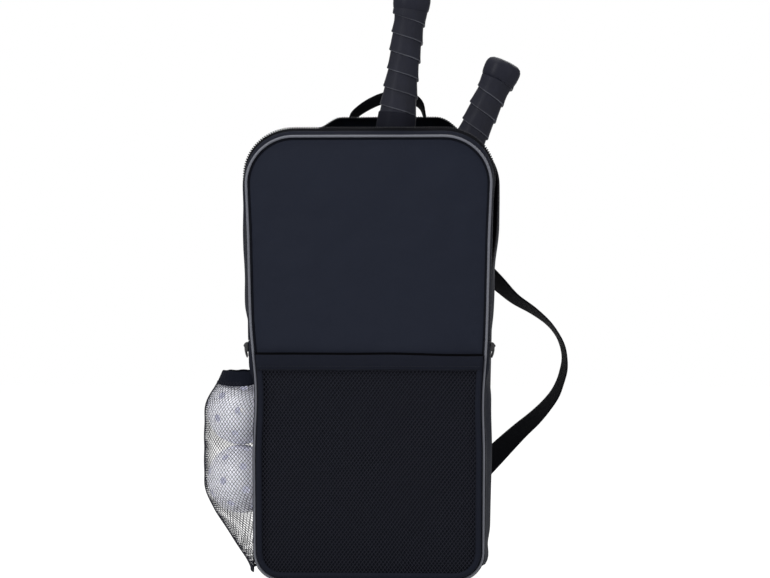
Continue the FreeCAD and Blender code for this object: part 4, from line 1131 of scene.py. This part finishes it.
def make_front_pocket():
    """Net, edge band and hem of the front pocket."""
    pitch = sizes().front_net
    rise = pitch * 0.68
    low, high, wide = 0.0055, POCKET_TOP - 0.012, 0.2460

    def spot(u, v):
        x, z = u * pitch - wide / 2, low + v * rise
        x += 0.0022 * ripple(x, 0.0, z, 0.07, 11.0)
        z += 0.0026 * ripple(x, 0.0, z, 0.09, 15.0) * smooth(z, low, low + 0.02)
        half = outline_half(max(z, low), FRONT_TOP, FRONT_CORNER, 0.0052) - drawn_in(z, x)
        if z < low - 0.0005 or abs(x) > half:
            return None
        return (x, POCKET_Y + 0.0002 - pocket_bulge(x, z), z)

    item = diamonds("front_net", round((high - low) / rise), wide / pitch, spot)
    grow(item, "Strands", "netting", Radius=sizes().front_strand, Sides=3)
    place(item, "bag", "netting", "front_mesh", "pocket_mesh")

    section = ((0.0, FRONT_Y - 0.0002), (0.0, FRONT_Y - 0.003), (-0.0002, POCKET_Y + 0.0006),
               (-0.0020, POCKET_Y - 0.0004), (-0.0058, POCKET_Y - 0.0003))
    rows = []
    for x, z, nx, nz in under_foot(POCKET_TOP - 0.004, 0.0040, POCKET_INSET):
        x = pulled_in(x, z)
        rows.append([(x + nx * out, y + 0.0003 * ripple(x, y, z, 0.013, 3.0), z + nz * out)
                     for out, y in section])
    place(cloth("pocket_edge", rows, 0.0010), "bag", "gusset nylon", "gusset_nylon", "pocket_side_band")

    rows = []
    for share in shares(9):
        row = []
        for side in spread(81):
            z = lerp(POCKET_TOP - 0.0165, POCKET_TOP, share)
            x = (half_width(z) - POCKET_INSET - drawn_in(z, side)) * side
            z -= 0.0016 * smooth(x, 0.02, 0.12) * share + 0.0006 * ripple(x, 0.0, 0.0, 0.05, 2.0)
            y = hem_y(x, 0.0004) - 0.0006 * math.sin(math.pi * share) - 0.0004 * ripple(x, 0.0, z, 0.02, 5.0)
            row.append((x, y, z))
        rows.append(row)
    # A near-black strip just behind and above the hem's top edge: painted shadow of the pocket's mouth, not
    # a real part.
    mouth_shadow = [[(x, y + 0.0018, z + 0.0024) for x, y, z in row] for row in rows[5:]]
    place(cloth("pocket_hem_tape", rows, 0.0014), "bag", "hem", "hem_tape", "pocket_hem")
    place(cloth("pocket_hem_lining", mouth_shadow, 0.0008), "bag", "pocket lining", "hem_tape")
    for word, down in (("upper", 0.0122), ("lower", 0.0160)):
        line = []
        for x in (0.1175 * side for side in spread(81)):
            z = POCKET_TOP - down + 0.0004 * ripple(x, 0.0, 0.0, 0.05, 2.0)
            line.append((x, hem_y(x, 0.0013) - 0.0004, z))
        item = along("hem_stitches_" + word, line, sizes().stitch_pitch, STITCH, "thread")
        place(item, "bag", "thread", "hem_tape")


# Heights and outermost x of the ball pocket
POCKET_MARKS = ((0.008, -0.1282), (0.0155, -0.1315), (0.0393, -0.1480), (0.0696, -0.1675), (0.088, -0.1780),
                (0.101, -0.1812), (0.184, -0.1809), (0.1924, -0.1786), (0.2033, -0.1719), (0.2103, -0.1655))
POCKET_HALF = 0.0400    # half of the ball pocket's depth along Y


def between(marks, at):
    """Value at a place, from marks that rise from place to place."""
    for (low, low_value), (high, high_value) in zip(marks, marks[1:]):
        if at <= high:
            return lerp(low_value, high_value, max(0.0, (at - low) / (high - low)))
    return marks[-1][1]


def smooth_reach(z):
    """Outermost x of the ball pocket at a height, with its corners rounded off."""
    low, high = POCKET_MARKS[0][0], POCKET_MARKS[-1][0]
    weights = ((-0.008, 0.1), (-0.004, 0.24), (0.0, 0.32), (0.004, 0.24), (0.008, 0.1))
    return sum(between(POCKET_MARKS, min(high, max(low, z + step))) * weight for step, weight in weights)


def pocket_arc(z, reach):
    """Centre x, radius and half angle of the pocket's bow at a height."""
    root = -half_width(z) - 0.0004 + drawn_in(z, -1)
    sag = max(0.0005, root - reach)
    radius = (POCKET_HALF * POCKET_HALF + sag * sag) / (2 * sag)
    centre = reach + radius
    return centre, radius, math.pi - math.atan2(POCKET_HALF, root - centre)


def pocket_point(z, side, out=0.0, reach=None):
    """Point on the ball pocket: side runs from -1 at its front seam to 1 at its rear seam."""
    centre, radius, half_angle = pocket_arc(z, (smooth_reach(z) if reach is None else reach) - out)
    angle = math.pi + half_angle * side
    return (centre + radius * math.cos(angle), -radius * math.sin(angle), z)


def make_side_pocket():
    """Stretched net over the balls, its elastic edge and the tape along its seams."""
    pitch = sizes().side_net
    rise = pitch * 0.62
    low, high = 0.0095, 0.2130
    columns = 2 * round(0.095 / pitch)

    def spot(u, v):
        z = low + v * rise
        _, radius, half_angle = pocket_arc(z, smooth_reach(z))
        side = (u - columns / 2) * pitch / (radius * half_angle)
        if abs(side) > 1.0:
            return None
        ends = smooth(z, low, low + 0.02) * (1.0 - smooth(z, high - 0.02, high))
        z += 0.0030 * ripple(side * 0.05, 0.0, z, 0.045, 21.0) * ends
        side += 0.03 * ripple(side * 0.04, 0.0, z, 0.05, 27.0) * (1.0 - side * side)
        out = 0.0007 * ripple(side * 0.05, side * 0.02, z, 0.02, 31.0) * (1.0 - side * side)
        return pocket_point(z, side, out)

    item = diamonds("ball_pocket_net", round((high - low) / rise), columns, spot)
    grow(item, "Strands", "netting", Radius=sizes().side_strand, Sides=4)
    place(item, "bag", "netting", "side_mesh", "side_pocket_mesh")

    rows = []
    for share in shares(9):
        row = []
        for side in spread(97):
            wave = 0.0003 * math.sin(side * 21.0) * share
            wave -= 0.0100 * side * side * (1.0 - side * side) * (1.0 - share)
            out = 0.0003 * math.sin(side * 60.0) * (0.35 + share)
            x, y, z = pocket_point(lerp(0.2100, 0.2235, share), side, out, lerp(-0.1664, -0.1602, share))
            row.append((x, y, z + wave))
        rows.append(row)
    place(cloth("ball_pocket_elastic", rows, 0.0017), "bag", "elastic", "elastic", "side_pocket_binding")

    seams = []
    for side in (-1.0, 1.0):
        centres = [Vector(pocket_point(lerp(low, 0.2225, share), side)) for share in shares(41)]
        centres = [Vector((centre.x + 0.0001, centre.y, centre.z)) for centre in centres]
        acrosses = [Vector((0.1, -side, 0.0))] * len(centres)
        seams.append(band("seam_part", centres, acrosses, 0.0050, 0.0010, 4))
    foot = [Vector(pocket_point(0.0105, side)) for side in spread(21)]
    seams.append(band("seam_part", foot, [Vector((0.0, 0.0, 1.0))] * len(foot), 0.0030, 0.0012, 4))
    place(join("ball_pocket_seams", seams), "bag", "hem", "elastic")


def hole_directions(pole, twist):
    """Unit vectors to the holes: a pole, a ring of six and a second ring on each half."""
    turned = []
    for half in (1, -1):
        turned.append(Vector((0, 0, half)))
        for tilt, shift in ((43.0, 0.0), (76.0, 30.0)):
            lean = math.radians(tilt)
            for k in range(6):
                angle = math.radians(60.0 * k + shift + (30.0 if half < 0 else 0.0) + twist)
                flat = Vector((math.cos(angle), math.sin(angle), 0.0)) * math.sin(lean)
                turned.append(flat + Vector((0.0, 0.0, half * math.cos(lean))))
    turn = Vector((0, 0, 1)).rotation_difference(pole)
    return [turn @ one for one in turned]


def make_balls():
    """Perforated balls, hollow, with the holes drilled by a geometry tree."""
    poles = (("upper", Vector((0.03, -1.0, 0.03)), 21.0), ("lower", Vector((-0.42, -0.85, 0.0)), 12.0))
    for (name, pole, twist), height in zip(poles, BALL_HEIGHTS):
        shells = []
        for radius in (BALL_RADIUS, BALL_RADIUS - 0.0015):
            mesh = bpy.data.meshes.new("shell_part")
            with editing(mesh) as work:
                bmesh.ops.create_uvsphere(work, u_segments=72, v_segments=40, radius=radius)
                if radius < BALL_RADIUS:
                    bmesh.ops.reverse_faces(work, faces=work.faces)
            shells.append(new_object("shell_part", mesh))
        shell = join("shell_" + name, shells)
        holes = [tuple(one * (BALL_RADIUS - 0.0008)) for one in hole_directions(pole.normalized(), twist)]
        item = plain("drilled_ball_" + name, holes)
        grow(item, "Perforations", "ball", Shell=shell, Radius=sizes().hole)
        drop(shell)
        item.data.transform(Matrix.Translation((BALL_X, 0.0, height)))
        item.data.shade_smooth()
        item.data.set_sharp_from_angle(angle=math.radians(40.0))
        place(item, "ball_" + name, "ball", "ball", "ball_" + name)


def grip_ring(angle, radius):
    """Point on a handle's rounded eight-sided section."""
    total = sum(abs(math.cos(angle - math.pi / 4 * k)) ** 18 for k in range(4))
    radius *= total ** (-1.0 / 18)
    return radius * math.cos(angle), radius * math.sin(angle) * GRIP_FLAT


# Height of the wound tape across its width, from its raised edge to its thin one
TAPE_SECTION = ((0.0, 0.0011), (0.006, 0.0019), (0.022, 0.0024), (0.06, 0.0025), (0.15, 0.0021),
                (0.35, 0.0016), (0.60, 0.0012), (0.80, 0.0009), (0.94, 0.0007), (1.0, 0.0003))


def wound_tape(name, start_turn):
    """Tape wound down an upright handle in one strip, each turn's raised edge over the turn before it."""
    pitch = sizes().wrap_pitch
    low, high, steps = 0.0200, 0.1330, 64
    width = pitch * 1.05
    rows = []
    for i in range(math.ceil((high - low + width) / pitch * steps) + 1):
        rise = low - width + pitch * i / steps
        bottom, top = max(rise, low), min(rise + width, high)
        if top - bottom < 0.0004:
            continue
        angle = -2 * math.pi * (i / steps + start_turn)
        outer, inner = [], []
        for share, _ in TAPE_SECTION:
            z = lerp(bottom, top, share)
            root = 0.0152 + 0.0025 * (1.0 - smooth(z, 0.025, 0.075)) + 0.0018 * smooth(z, 0.118, 0.131)
            height = between(TAPE_SECTION, (z - rise) / width)
            height += 0.00035 * ripple(math.cos(angle) * 0.03, math.sin(angle) * 0.03, z, 0.02, 4.0)
            outer.append((*grip_ring(angle, root + max(0.0002, height)), z))
            inner.append((*grip_ring(angle, root - 0.0001), z))
        rows.append(outer + inner[::-1])
    return rod(name, rows)


def spun(name, profile):
    """Closed form from (radius, height) points turned round the handle."""
    turns = [2 * math.pi * j / 64 for j in range(64)]
    rows = [[(*grip_ring(turn, max(radius, 1e-7)), height) for turn in turns] for radius, height in profile]
    return turn_outwards(grid(name, rows, wrap=True))


# (radius, height) outlines of a paddle's collar and end cap
COLLAR = ((0.0158, 0.0004), (0.0208, 0.0006), (0.0212, 0.0020), (0.0211, 0.0080), (0.0207, 0.0150),
          (0.0204, 0.0190), (0.0196, 0.0202), (0.0165, 0.0203), (0.0158, 0.0100), (0.0158, 0.0004))
CAP = ((0.0, 0.1300), (0.0160, 0.1302), (0.0182, 0.1310), (0.0191, 0.1330), (0.0197, 0.1365),
       (0.0200, 0.1405), (0.0200, 0.1445), (0.0194, 0.1475), (0.0178, 0.1502), (0.0145, 0.1524),
       (0.0085, 0.1537), (0.0, 0.1541))


def make_grips():
    """Wound tape, collar and butt cap of both paddles."""
    for (body, spot, tilt), start_turn in zip(PADDLES, (0.035, 0.48)):
        for item, look, slot, node in (
                (wound_tape(body + "_tape", start_turn), "grip tape", "grip_tape", "_grip_wrap"),
                (spun(body + "_collar_ring", COLLAR), "collar rubber", "collar_rubber", "_collar"),
                (spun(body + "_end_cap", CAP), "cap", "butt_cap", "_butt_cap")):
            place(leaning(item, spot, tilt), body, look, slot, body + node)
        dress(body + "_handle", "handle core")
        dress(body + "_face", "paddle face")
        dress(body + "_edge_guard", "edge guard")


def make_haul_loop():
    """Haul loop of webbing, sewn down at both ends."""
    seat = BACK_TOP + 0.0130
    marks = ((-0.0240, 0.0), (-0.0205, 0.0065), (-0.0070, 0.0165), (0.0100, 0.0243), (0.0250, 0.0262),
             (0.0420, 0.0250), (0.0530, 0.0160), (0.0580, 0.0))
    fall = math.atan2(0.0125, INNER_BACK_Y - MOUTH_REAR_Y)
    centres = through([Vector((x, MOUTH_REAR_Y + 0.0062, seat - 0.0040 + up)) for x, up in marks], 0.003)
    twists = [fall + math.radians(18.0) * math.sin(math.pi * share) for share in shares(len(centres))]
    acrosses = [Vector((0.0, math.cos(twist), -math.sin(twist))) for twist in twists]
    item = band("haul_loop_webbing", centres, acrosses, 0.0135, 0.0022, 8, 0.0005)
    place(item, "haul_loop", "webbing", "webbing", "haul_loop")


# X, z and roll in degrees of the strap's middle
STRAP_MARKS = (
    (0.0620, 0.3810, 0.0), (0.1000, 0.3500, 22.0), (0.1330, 0.3215, 46.0), (0.1538, 0.3021, 61.0),
    (0.1743, 0.2888, 70.0), (0.1909, 0.2755, 77.0), (0.2014, 0.2623, 80.0), (0.2075, 0.2490, 78.0),
    (0.2097, 0.2357, 77.0), (0.2086, 0.2225, 72.0), (0.2047, 0.2092, 70.5), (0.1987, 0.1960, 65.0),
    (0.1887, 0.1827, 59.5), (0.1760, 0.1694, 52.0), (0.1610, 0.1562, 45.0), (0.1440, 0.1400, 34.0),
    (0.1210, 0.1170, 18.0), (0.0900, 0.0850, 4.0), (0.0520, 0.0440, 0.0),
)


def make_strap():
    """Shoulder strap that stands out at the right, with its end patches and their stitching."""
    width = 0.025
    marks = through([Vector((x, roll / 1000.0, z)) for x, z, roll in STRAP_MARKS], 0.0035)
    centres, acrosses = [], []
    last = len(marks) - 1
    for i, mark in enumerate(marks):
        roll = math.radians(mark.y * 1000.0)
        ahead = marks[min(i + 1, last)] - marks[max(i - 1, 0)]
        ahead = Vector((ahead.x, 0.0, ahead.z)).normalized()
        flat = Vector((ahead.z, 0.0, -ahead.x))
        acrosses.append(flat * math.cos(roll) + Vector((0.0, 1.0, 0.0)) * math.sin(roll))
        over = smooth(i / last, 0.02, 0.12) * (1.0 - smooth(i / last, 0.84, 0.97))
        y = BACK_Y + 0.0003 + 0.0046 * over + width / 2 * math.sin(roll) + 0.0009 * math.cos(roll)
        centres.append(Vector((mark.x, y, mark.z)))
    item = band("shoulder_strap_webbing", centres, acrosses, width, 0.0017, 10)
    place(item, "strap", "webbing", "strap_webbing", "shoulder_strap")

    patches, threads = [], []
    for left, right, middle in ((0.018, 0.052, 0.381), (0.008, 0.042, 0.044)):
        rows = []
        for i in range(13):
            z = middle - 0.017 + 0.034 * i / 12
            rows.append([(lerp(left, right, share), BACK_Y + 0.0009 + 0.0003 * math.sin(math.pi * share), z)
                         for share in shares(13)])
        patches.append(cloth("patch_part", rows, 0.0014))
        a, b, c, d = left + 0.003, right - 0.003, middle - 0.014, middle + 0.014
        for ends in (((a, c), (b, c)), ((b, c), (b, d)), ((b, d), (a, d)),
                     ((a, d), (a, c)), ((a, c), (b, d)), ((a, d), (b, c))):
            line = [(x, BACK_Y + 0.0021, z) for x, z in ends]
            threads.append(along("thread_part", line, sizes().stitch_pitch, STITCH, "thread"))
    place(join("strap_end_patches", patches), "bag", "webbing", "webbing", "strap_patches")
    place(join("strap_end_stitches", threads), "bag", "thread", "webbing")


def folded_path(low, high, layers):
    """(y, z) points up and down the layers of a folded net, with a bend between each two."""
    pitch = (high[1] - low[1] - 0.003) / (layers - 1)
    heights = [lerp(low[2] + 0.004, high[2] - 0.004, share) for share in shares(23)]
    path = []
    for k in range(layers):
        y = low[1] + 0.0015 + pitch * k
        upward = k % 2 == 0
        path += [(y, z) for z in (heights if upward else heights[::-1])]
        centre, way = (heights[-1], 1) if upward else (heights[0], -1)
        for i in range(1, 5 if k < layers - 1 else 1):
            angle = math.pi * i / 5
            bend = pitch / 2 * math.sin(angle) * way
            path.append((y + pitch / 2 * (1.0 - math.cos(angle)), centre + bend * 1.2))
    return path


def make_folded_net():
    """Folded net in the lower half of the bag: two stacks of layers held by a tie."""
    left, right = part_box("net_fold_front")[0][0] + 0.001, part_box("net_fold_front")[1][0] - 0.001
    corner = 0.028      # roundness of the stack's lower right edge
    for name, layers in (("front", sizes().net_layers), ("rear", sizes().net_layers + 2)):
        low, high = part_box("net_fold_" + name)
        path = folded_path(low, high, layers)
        rows = []
        for i, (y, z) in enumerate(path):
            foot = corner - min(corner, max(0.0, z - low[2]))
            cut = corner - math.sqrt(max(0.0, corner ** 2 - foot ** 2))
            row = []
            for share in shares(45):
                x = lerp(left, right - cut, share)
                sag = 0.006 * (0.5 + 0.5 * ripple(x, y, 0.0, 0.05, 2.0 + i // 27))
                sag *= smooth(z, low[2] + 0.05, high[2])
                row.append((x, y + 0.0006 * ripple(x, y, z, 0.03, 6.0), z - sag))
            rows.append(row)
        item = cloth("folded_net_" + name, rows, 0.0012)
        place(item, "bag", "folded net", "net", "net_fold_" + name)

    low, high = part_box("net_tie")
    inset, turn = 0.0008, 0.008     # of the band's middle, and the radius of its corners
    ring = []
    y0, y1 = low[1] + inset, high[1] - inset
    x0, x1 = low[0] + inset, high[0] - inset
    for x, y, start in ((x1 - turn, y1 - turn, 0), (x0 + turn, y1 - turn, 90),
                        (x0 + turn, y0 + turn, 180), (x1 - turn, y0 + turn, 270)):
        for i in range(7):
            angle = math.radians(start + 15 * i)
            ring.append((x + turn * math.cos(angle), y + turn * math.sin(angle)))
    rows = [[(x, y, lerp(low[2], high[2], share)) for x, y in ring + ring[:1]] for share in shares(7)]
    place(cloth("net_tie_band", rows, 0.0012), "bag", "hem", "hem_tape", "net_tie")


def aimed(item, spot, aim):
    """Place a light or the camera and turn it to its aim."""
    item.location = spot
    item.rotation_euler = (aim - Vector(spot)).to_track_quat("-Z", "Y").to_euler()
    return item


def make_stage():
    """Pale floor, soft lights, white surroundings and the camera."""
    scene = bpy.context.scene
    scene.view_settings.view_transform = "Standard"
    size, under = 6, -0.0004
    corners = [(x * size, y * size, under) for x, y in ((-1, -1), (1, -1), (1, 1), (-1, 1))]
    floor = plain("floor", corners, (), [(0, 1, 2, 3)])
    floor.data.materials.append(floor_white())

    world = bpy.data.worlds.new("White surroundings")
    scene.world = world
    graph = Graph.emptied(world)
    rays = graph.node("ShaderNodeLightPath").outputs
    seen = Value(graph, rays["Is Camera Ray"]).most(Value(graph, rays["Is Transmission Ray"]))
    strength = seen.most(Value(graph, rays["Is Glossy Ray"]) * 0.8).most(0.30)
    back = graph.out("ShaderNodeBackground", {"Color": (1, 1, 1, 1), "Strength": strength})
    graph.node("ShaderNodeOutputWorld", {"Surface": back})

    aim = Vector((0.0176, -0.048, 0.312))
    for name, spot, size, power in (
            ("key", (-1.5, -2.2, 1.7), 1.4, 68.0), ("fill", (1.9, -1.8, 0.9), 1.6, 22.0),
            ("top", (0.0, -0.2, 2.4), 1.6, 26.0), ("rim", (0.6, 1.8, 1.6), 1.2, 22.0)):
        light = bpy.data.lights.new(name, "AREA")
        light.size = size
        light.energy = power
        aimed(new_object(name, light), spot, aim)

    distance, turn, width = 3.0, math.radians(3.0), 0.820
    camera = bpy.data.cameras.new("camera")
    camera.sensor_width = 36.0
    camera.lens = camera.sensor_width * distance / width
    camera.clip_end = 30.0
    spot = aim + Vector((math.sin(turn), -math.cos(turn), 0.0)) * distance
    scene.camera = aimed(new_object("camera", camera), spot, aim)


def floor_white():
    """White floor that shows as the white background and keeps a faint shadow."""
    material = bpy.data.materials.new("floor white")
    graph = Graph.emptied(material)
    rays = graph.node("ShaderNodeLightPath").outputs
    seen = Value(graph, rays["Is Camera Ray"]).most(Value(graph, rays["Is Glossy Ray"]))
    matt = graph.out("ShaderNodeBsdfDiffuse", {"Color": (0.9, 0.9, 0.9, 1)})
    glow = graph.out("ShaderNodeEmission", {"Color": (1, 1, 1, 1), "Strength": 1.12})
    both = graph.out("ShaderNodeMixShader", {0: seen * 0.86, 1: matt, 2: glow})
    graph.node("ShaderNodeOutputMaterial", {"Surface": both})
    return material


# Operators, in the order in which they run

class SETBAG_OT_stage(Operator):
    """Add the floor, the lights and the camera"""

    bl_idname = "set_bag.stage"
    bl_label = "Stage"
    bl_options = {"REGISTER", "UNDO"}

    def execute(self, context):
        make_stage()
        return {"FINISHED"}


class SETBAG_OT_front_cloth(Operator):
    """Add the front nylon in one piece"""

    bl_idname = "set_bag.front_cloth"
    bl_label = "Front cloth"
    bl_options = {"REGISTER", "UNDO"}

    def execute(self, context):
        make_front_cloth()
        return {"FINISHED"}


class SETBAG_OT_side_cloth(Operator):
    """Add the sides and the underside"""

    bl_idname = "set_bag.side_cloth"
    bl_label = "Side cloth"
    bl_options = {"REGISTER", "UNDO"}

    def execute(self, context):
        make_side_cloth()
        return {"FINISHED"}


class SETBAG_OT_back_pad(Operator):
    """Add the padded back"""

    bl_idname = "set_bag.back_pad"
    bl_label = "Back pad"
    bl_options = {"REGISTER", "UNDO"}

    def execute(self, context):
        make_back_pad()
        return {"FINISHED"}


class SETBAG_OT_rear_gusset(Operator):
    """Add the cloth strip behind the mouth"""

    bl_idname = "set_bag.rear_gusset"
    bl_label = "Rear gusset"
    bl_options = {"REGISTER", "UNDO"}

    def execute(self, context):
        make_rear_gusset()
        return {"FINISHED"}


class SETBAG_OT_flap_gusset(Operator):
    """Add the cloth strip in front of the mouth"""

    bl_idname = "set_bag.flap_gusset"
    bl_label = "Front gusset"
    bl_options = {"REGISTER", "UNDO"}

    def execute(self, context):
        make_flap_gusset()
        return {"FINISHED"}


class SETBAG_OT_zip(Operator):
    """Add the tapes and teeth and finish the sliders"""

    bl_idname = "set_bag.zip"
    bl_label = "Zip"
    bl_options = {"REGISTER", "UNDO"}

    def execute(self, context):
        make_zip()
        return {"FINISHED"}


class SETBAG_OT_piping(Operator):
    """Add the piping beads"""

    bl_idname = "set_bag.piping"
    bl_label = "Piping"
    bl_options = {"REGISTER", "UNDO"}

    def execute(self, context):
        make_piping()
        return {"FINISHED"}


class SETBAG_OT_front_pocket(Operator):
    """Add the front net, its hem and its edge"""

    bl_idname = "set_bag.front_pocket"
    bl_label = "Front pocket"
    bl_options = {"REGISTER", "UNDO"}

    def execute(self, context):
        make_front_pocket()
        return {"FINISHED"}


class SETBAG_OT_side_pocket(Operator):
    """Add the ball pocket's net and elastic"""

    bl_idname = "set_bag.side_pocket"
    bl_label = "Ball pocket"
    bl_options = {"REGISTER", "UNDO"}

    def execute(self, context):
        make_side_pocket()
        return {"FINISHED"}


class SETBAG_OT_balls(Operator):
    """Add the perforated balls"""

    bl_idname = "set_bag.balls"
    bl_label = "Balls"
    bl_options = {"REGISTER", "UNDO"}

    def execute(self, context):
        make_balls()
        return {"FINISHED"}


class SETBAG_OT_grips(Operator):
    """Add the wound grips, collars and caps"""

    bl_idname = "set_bag.grips"
    bl_label = "Grips"
    bl_options = {"REGISTER", "UNDO"}

    def execute(self, context):
        make_grips()
        return {"FINISHED"}


class SETBAG_OT_haul_loop(Operator):
    """Add the haul loop"""

    bl_idname = "set_bag.haul_loop"
    bl_label = "Haul loop"
    bl_options = {"REGISTER", "UNDO"}

    def execute(self, context):
        make_haul_loop()
        return {"FINISHED"}


class SETBAG_OT_strap(Operator):
    """Add the shoulder strap and its patches"""

    bl_idname = "set_bag.strap"
    bl_label = "Shoulder strap"
    bl_options = {"REGISTER", "UNDO"}

    def execute(self, context):
        make_strap()
        return {"FINISHED"}


class SETBAG_OT_folded_net(Operator):
    """Add the folded net inside the bag"""

    bl_idname = "set_bag.folded_net"
    bl_label = "Folded net"
    bl_options = {"REGISTER", "UNDO"}

    def execute(self, context):
        make_folded_net()
        return {"FINISHED"}


OPERATORS = (
    SETBAG_OT_stage, SETBAG_OT_front_cloth, SETBAG_OT_side_cloth,
    SETBAG_OT_back_pad, SETBAG_OT_rear_gusset, SETBAG_OT_flap_gusset,
    SETBAG_OT_zip, SETBAG_OT_piping, SETBAG_OT_front_pocket,
    SETBAG_OT_side_pocket, SETBAG_OT_balls, SETBAG_OT_grips,
    SETBAG_OT_haul_loop, SETBAG_OT_strap, SETBAG_OT_folded_net,
)


class SETBAG_PT_pieces(Panel):
    """Lists the pieces of the set bag."""

    bl_idname = "SETBAG_PT_pieces"
    bl_label = "Set bag"
    bl_space_type = "VIEW_3D"
    bl_region_type = "UI"
    bl_category = "Set bag"

    def draw(self, context):
        column = self.layout.column()
        for one in OPERATORS:
            column.operator(one.bl_idname)
        for group in (context.scene.set_bag_sizes, context.scene.set_bag_colours):
            for name in group.__annotations__:
                column.prop(group, name)


CLASSES = (BagSizes, BagColours, *OPERATORS, SETBAG_PT_pieces)


def register():
    for one in CLASSES:
        bpy.utils.register_class(one)
    bpy.types.Scene.set_bag_sizes = PointerProperty(type=BagSizes)
    bpy.types.Scene.set_bag_colours = PointerProperty(type=BagColours)


def unregister():
    del bpy.types.Scene.set_bag_sizes
    del bpy.types.Scene.set_bag_colours
    for one in reversed(CLASSES):
        bpy.utils.unregister_class(one)


def main():
    register()
    for one in OPERATORS:
        getattr(bpy.ops.set_bag, one.bl_idname.split(".")[1])()


if __name__ == "__main__":
    main()
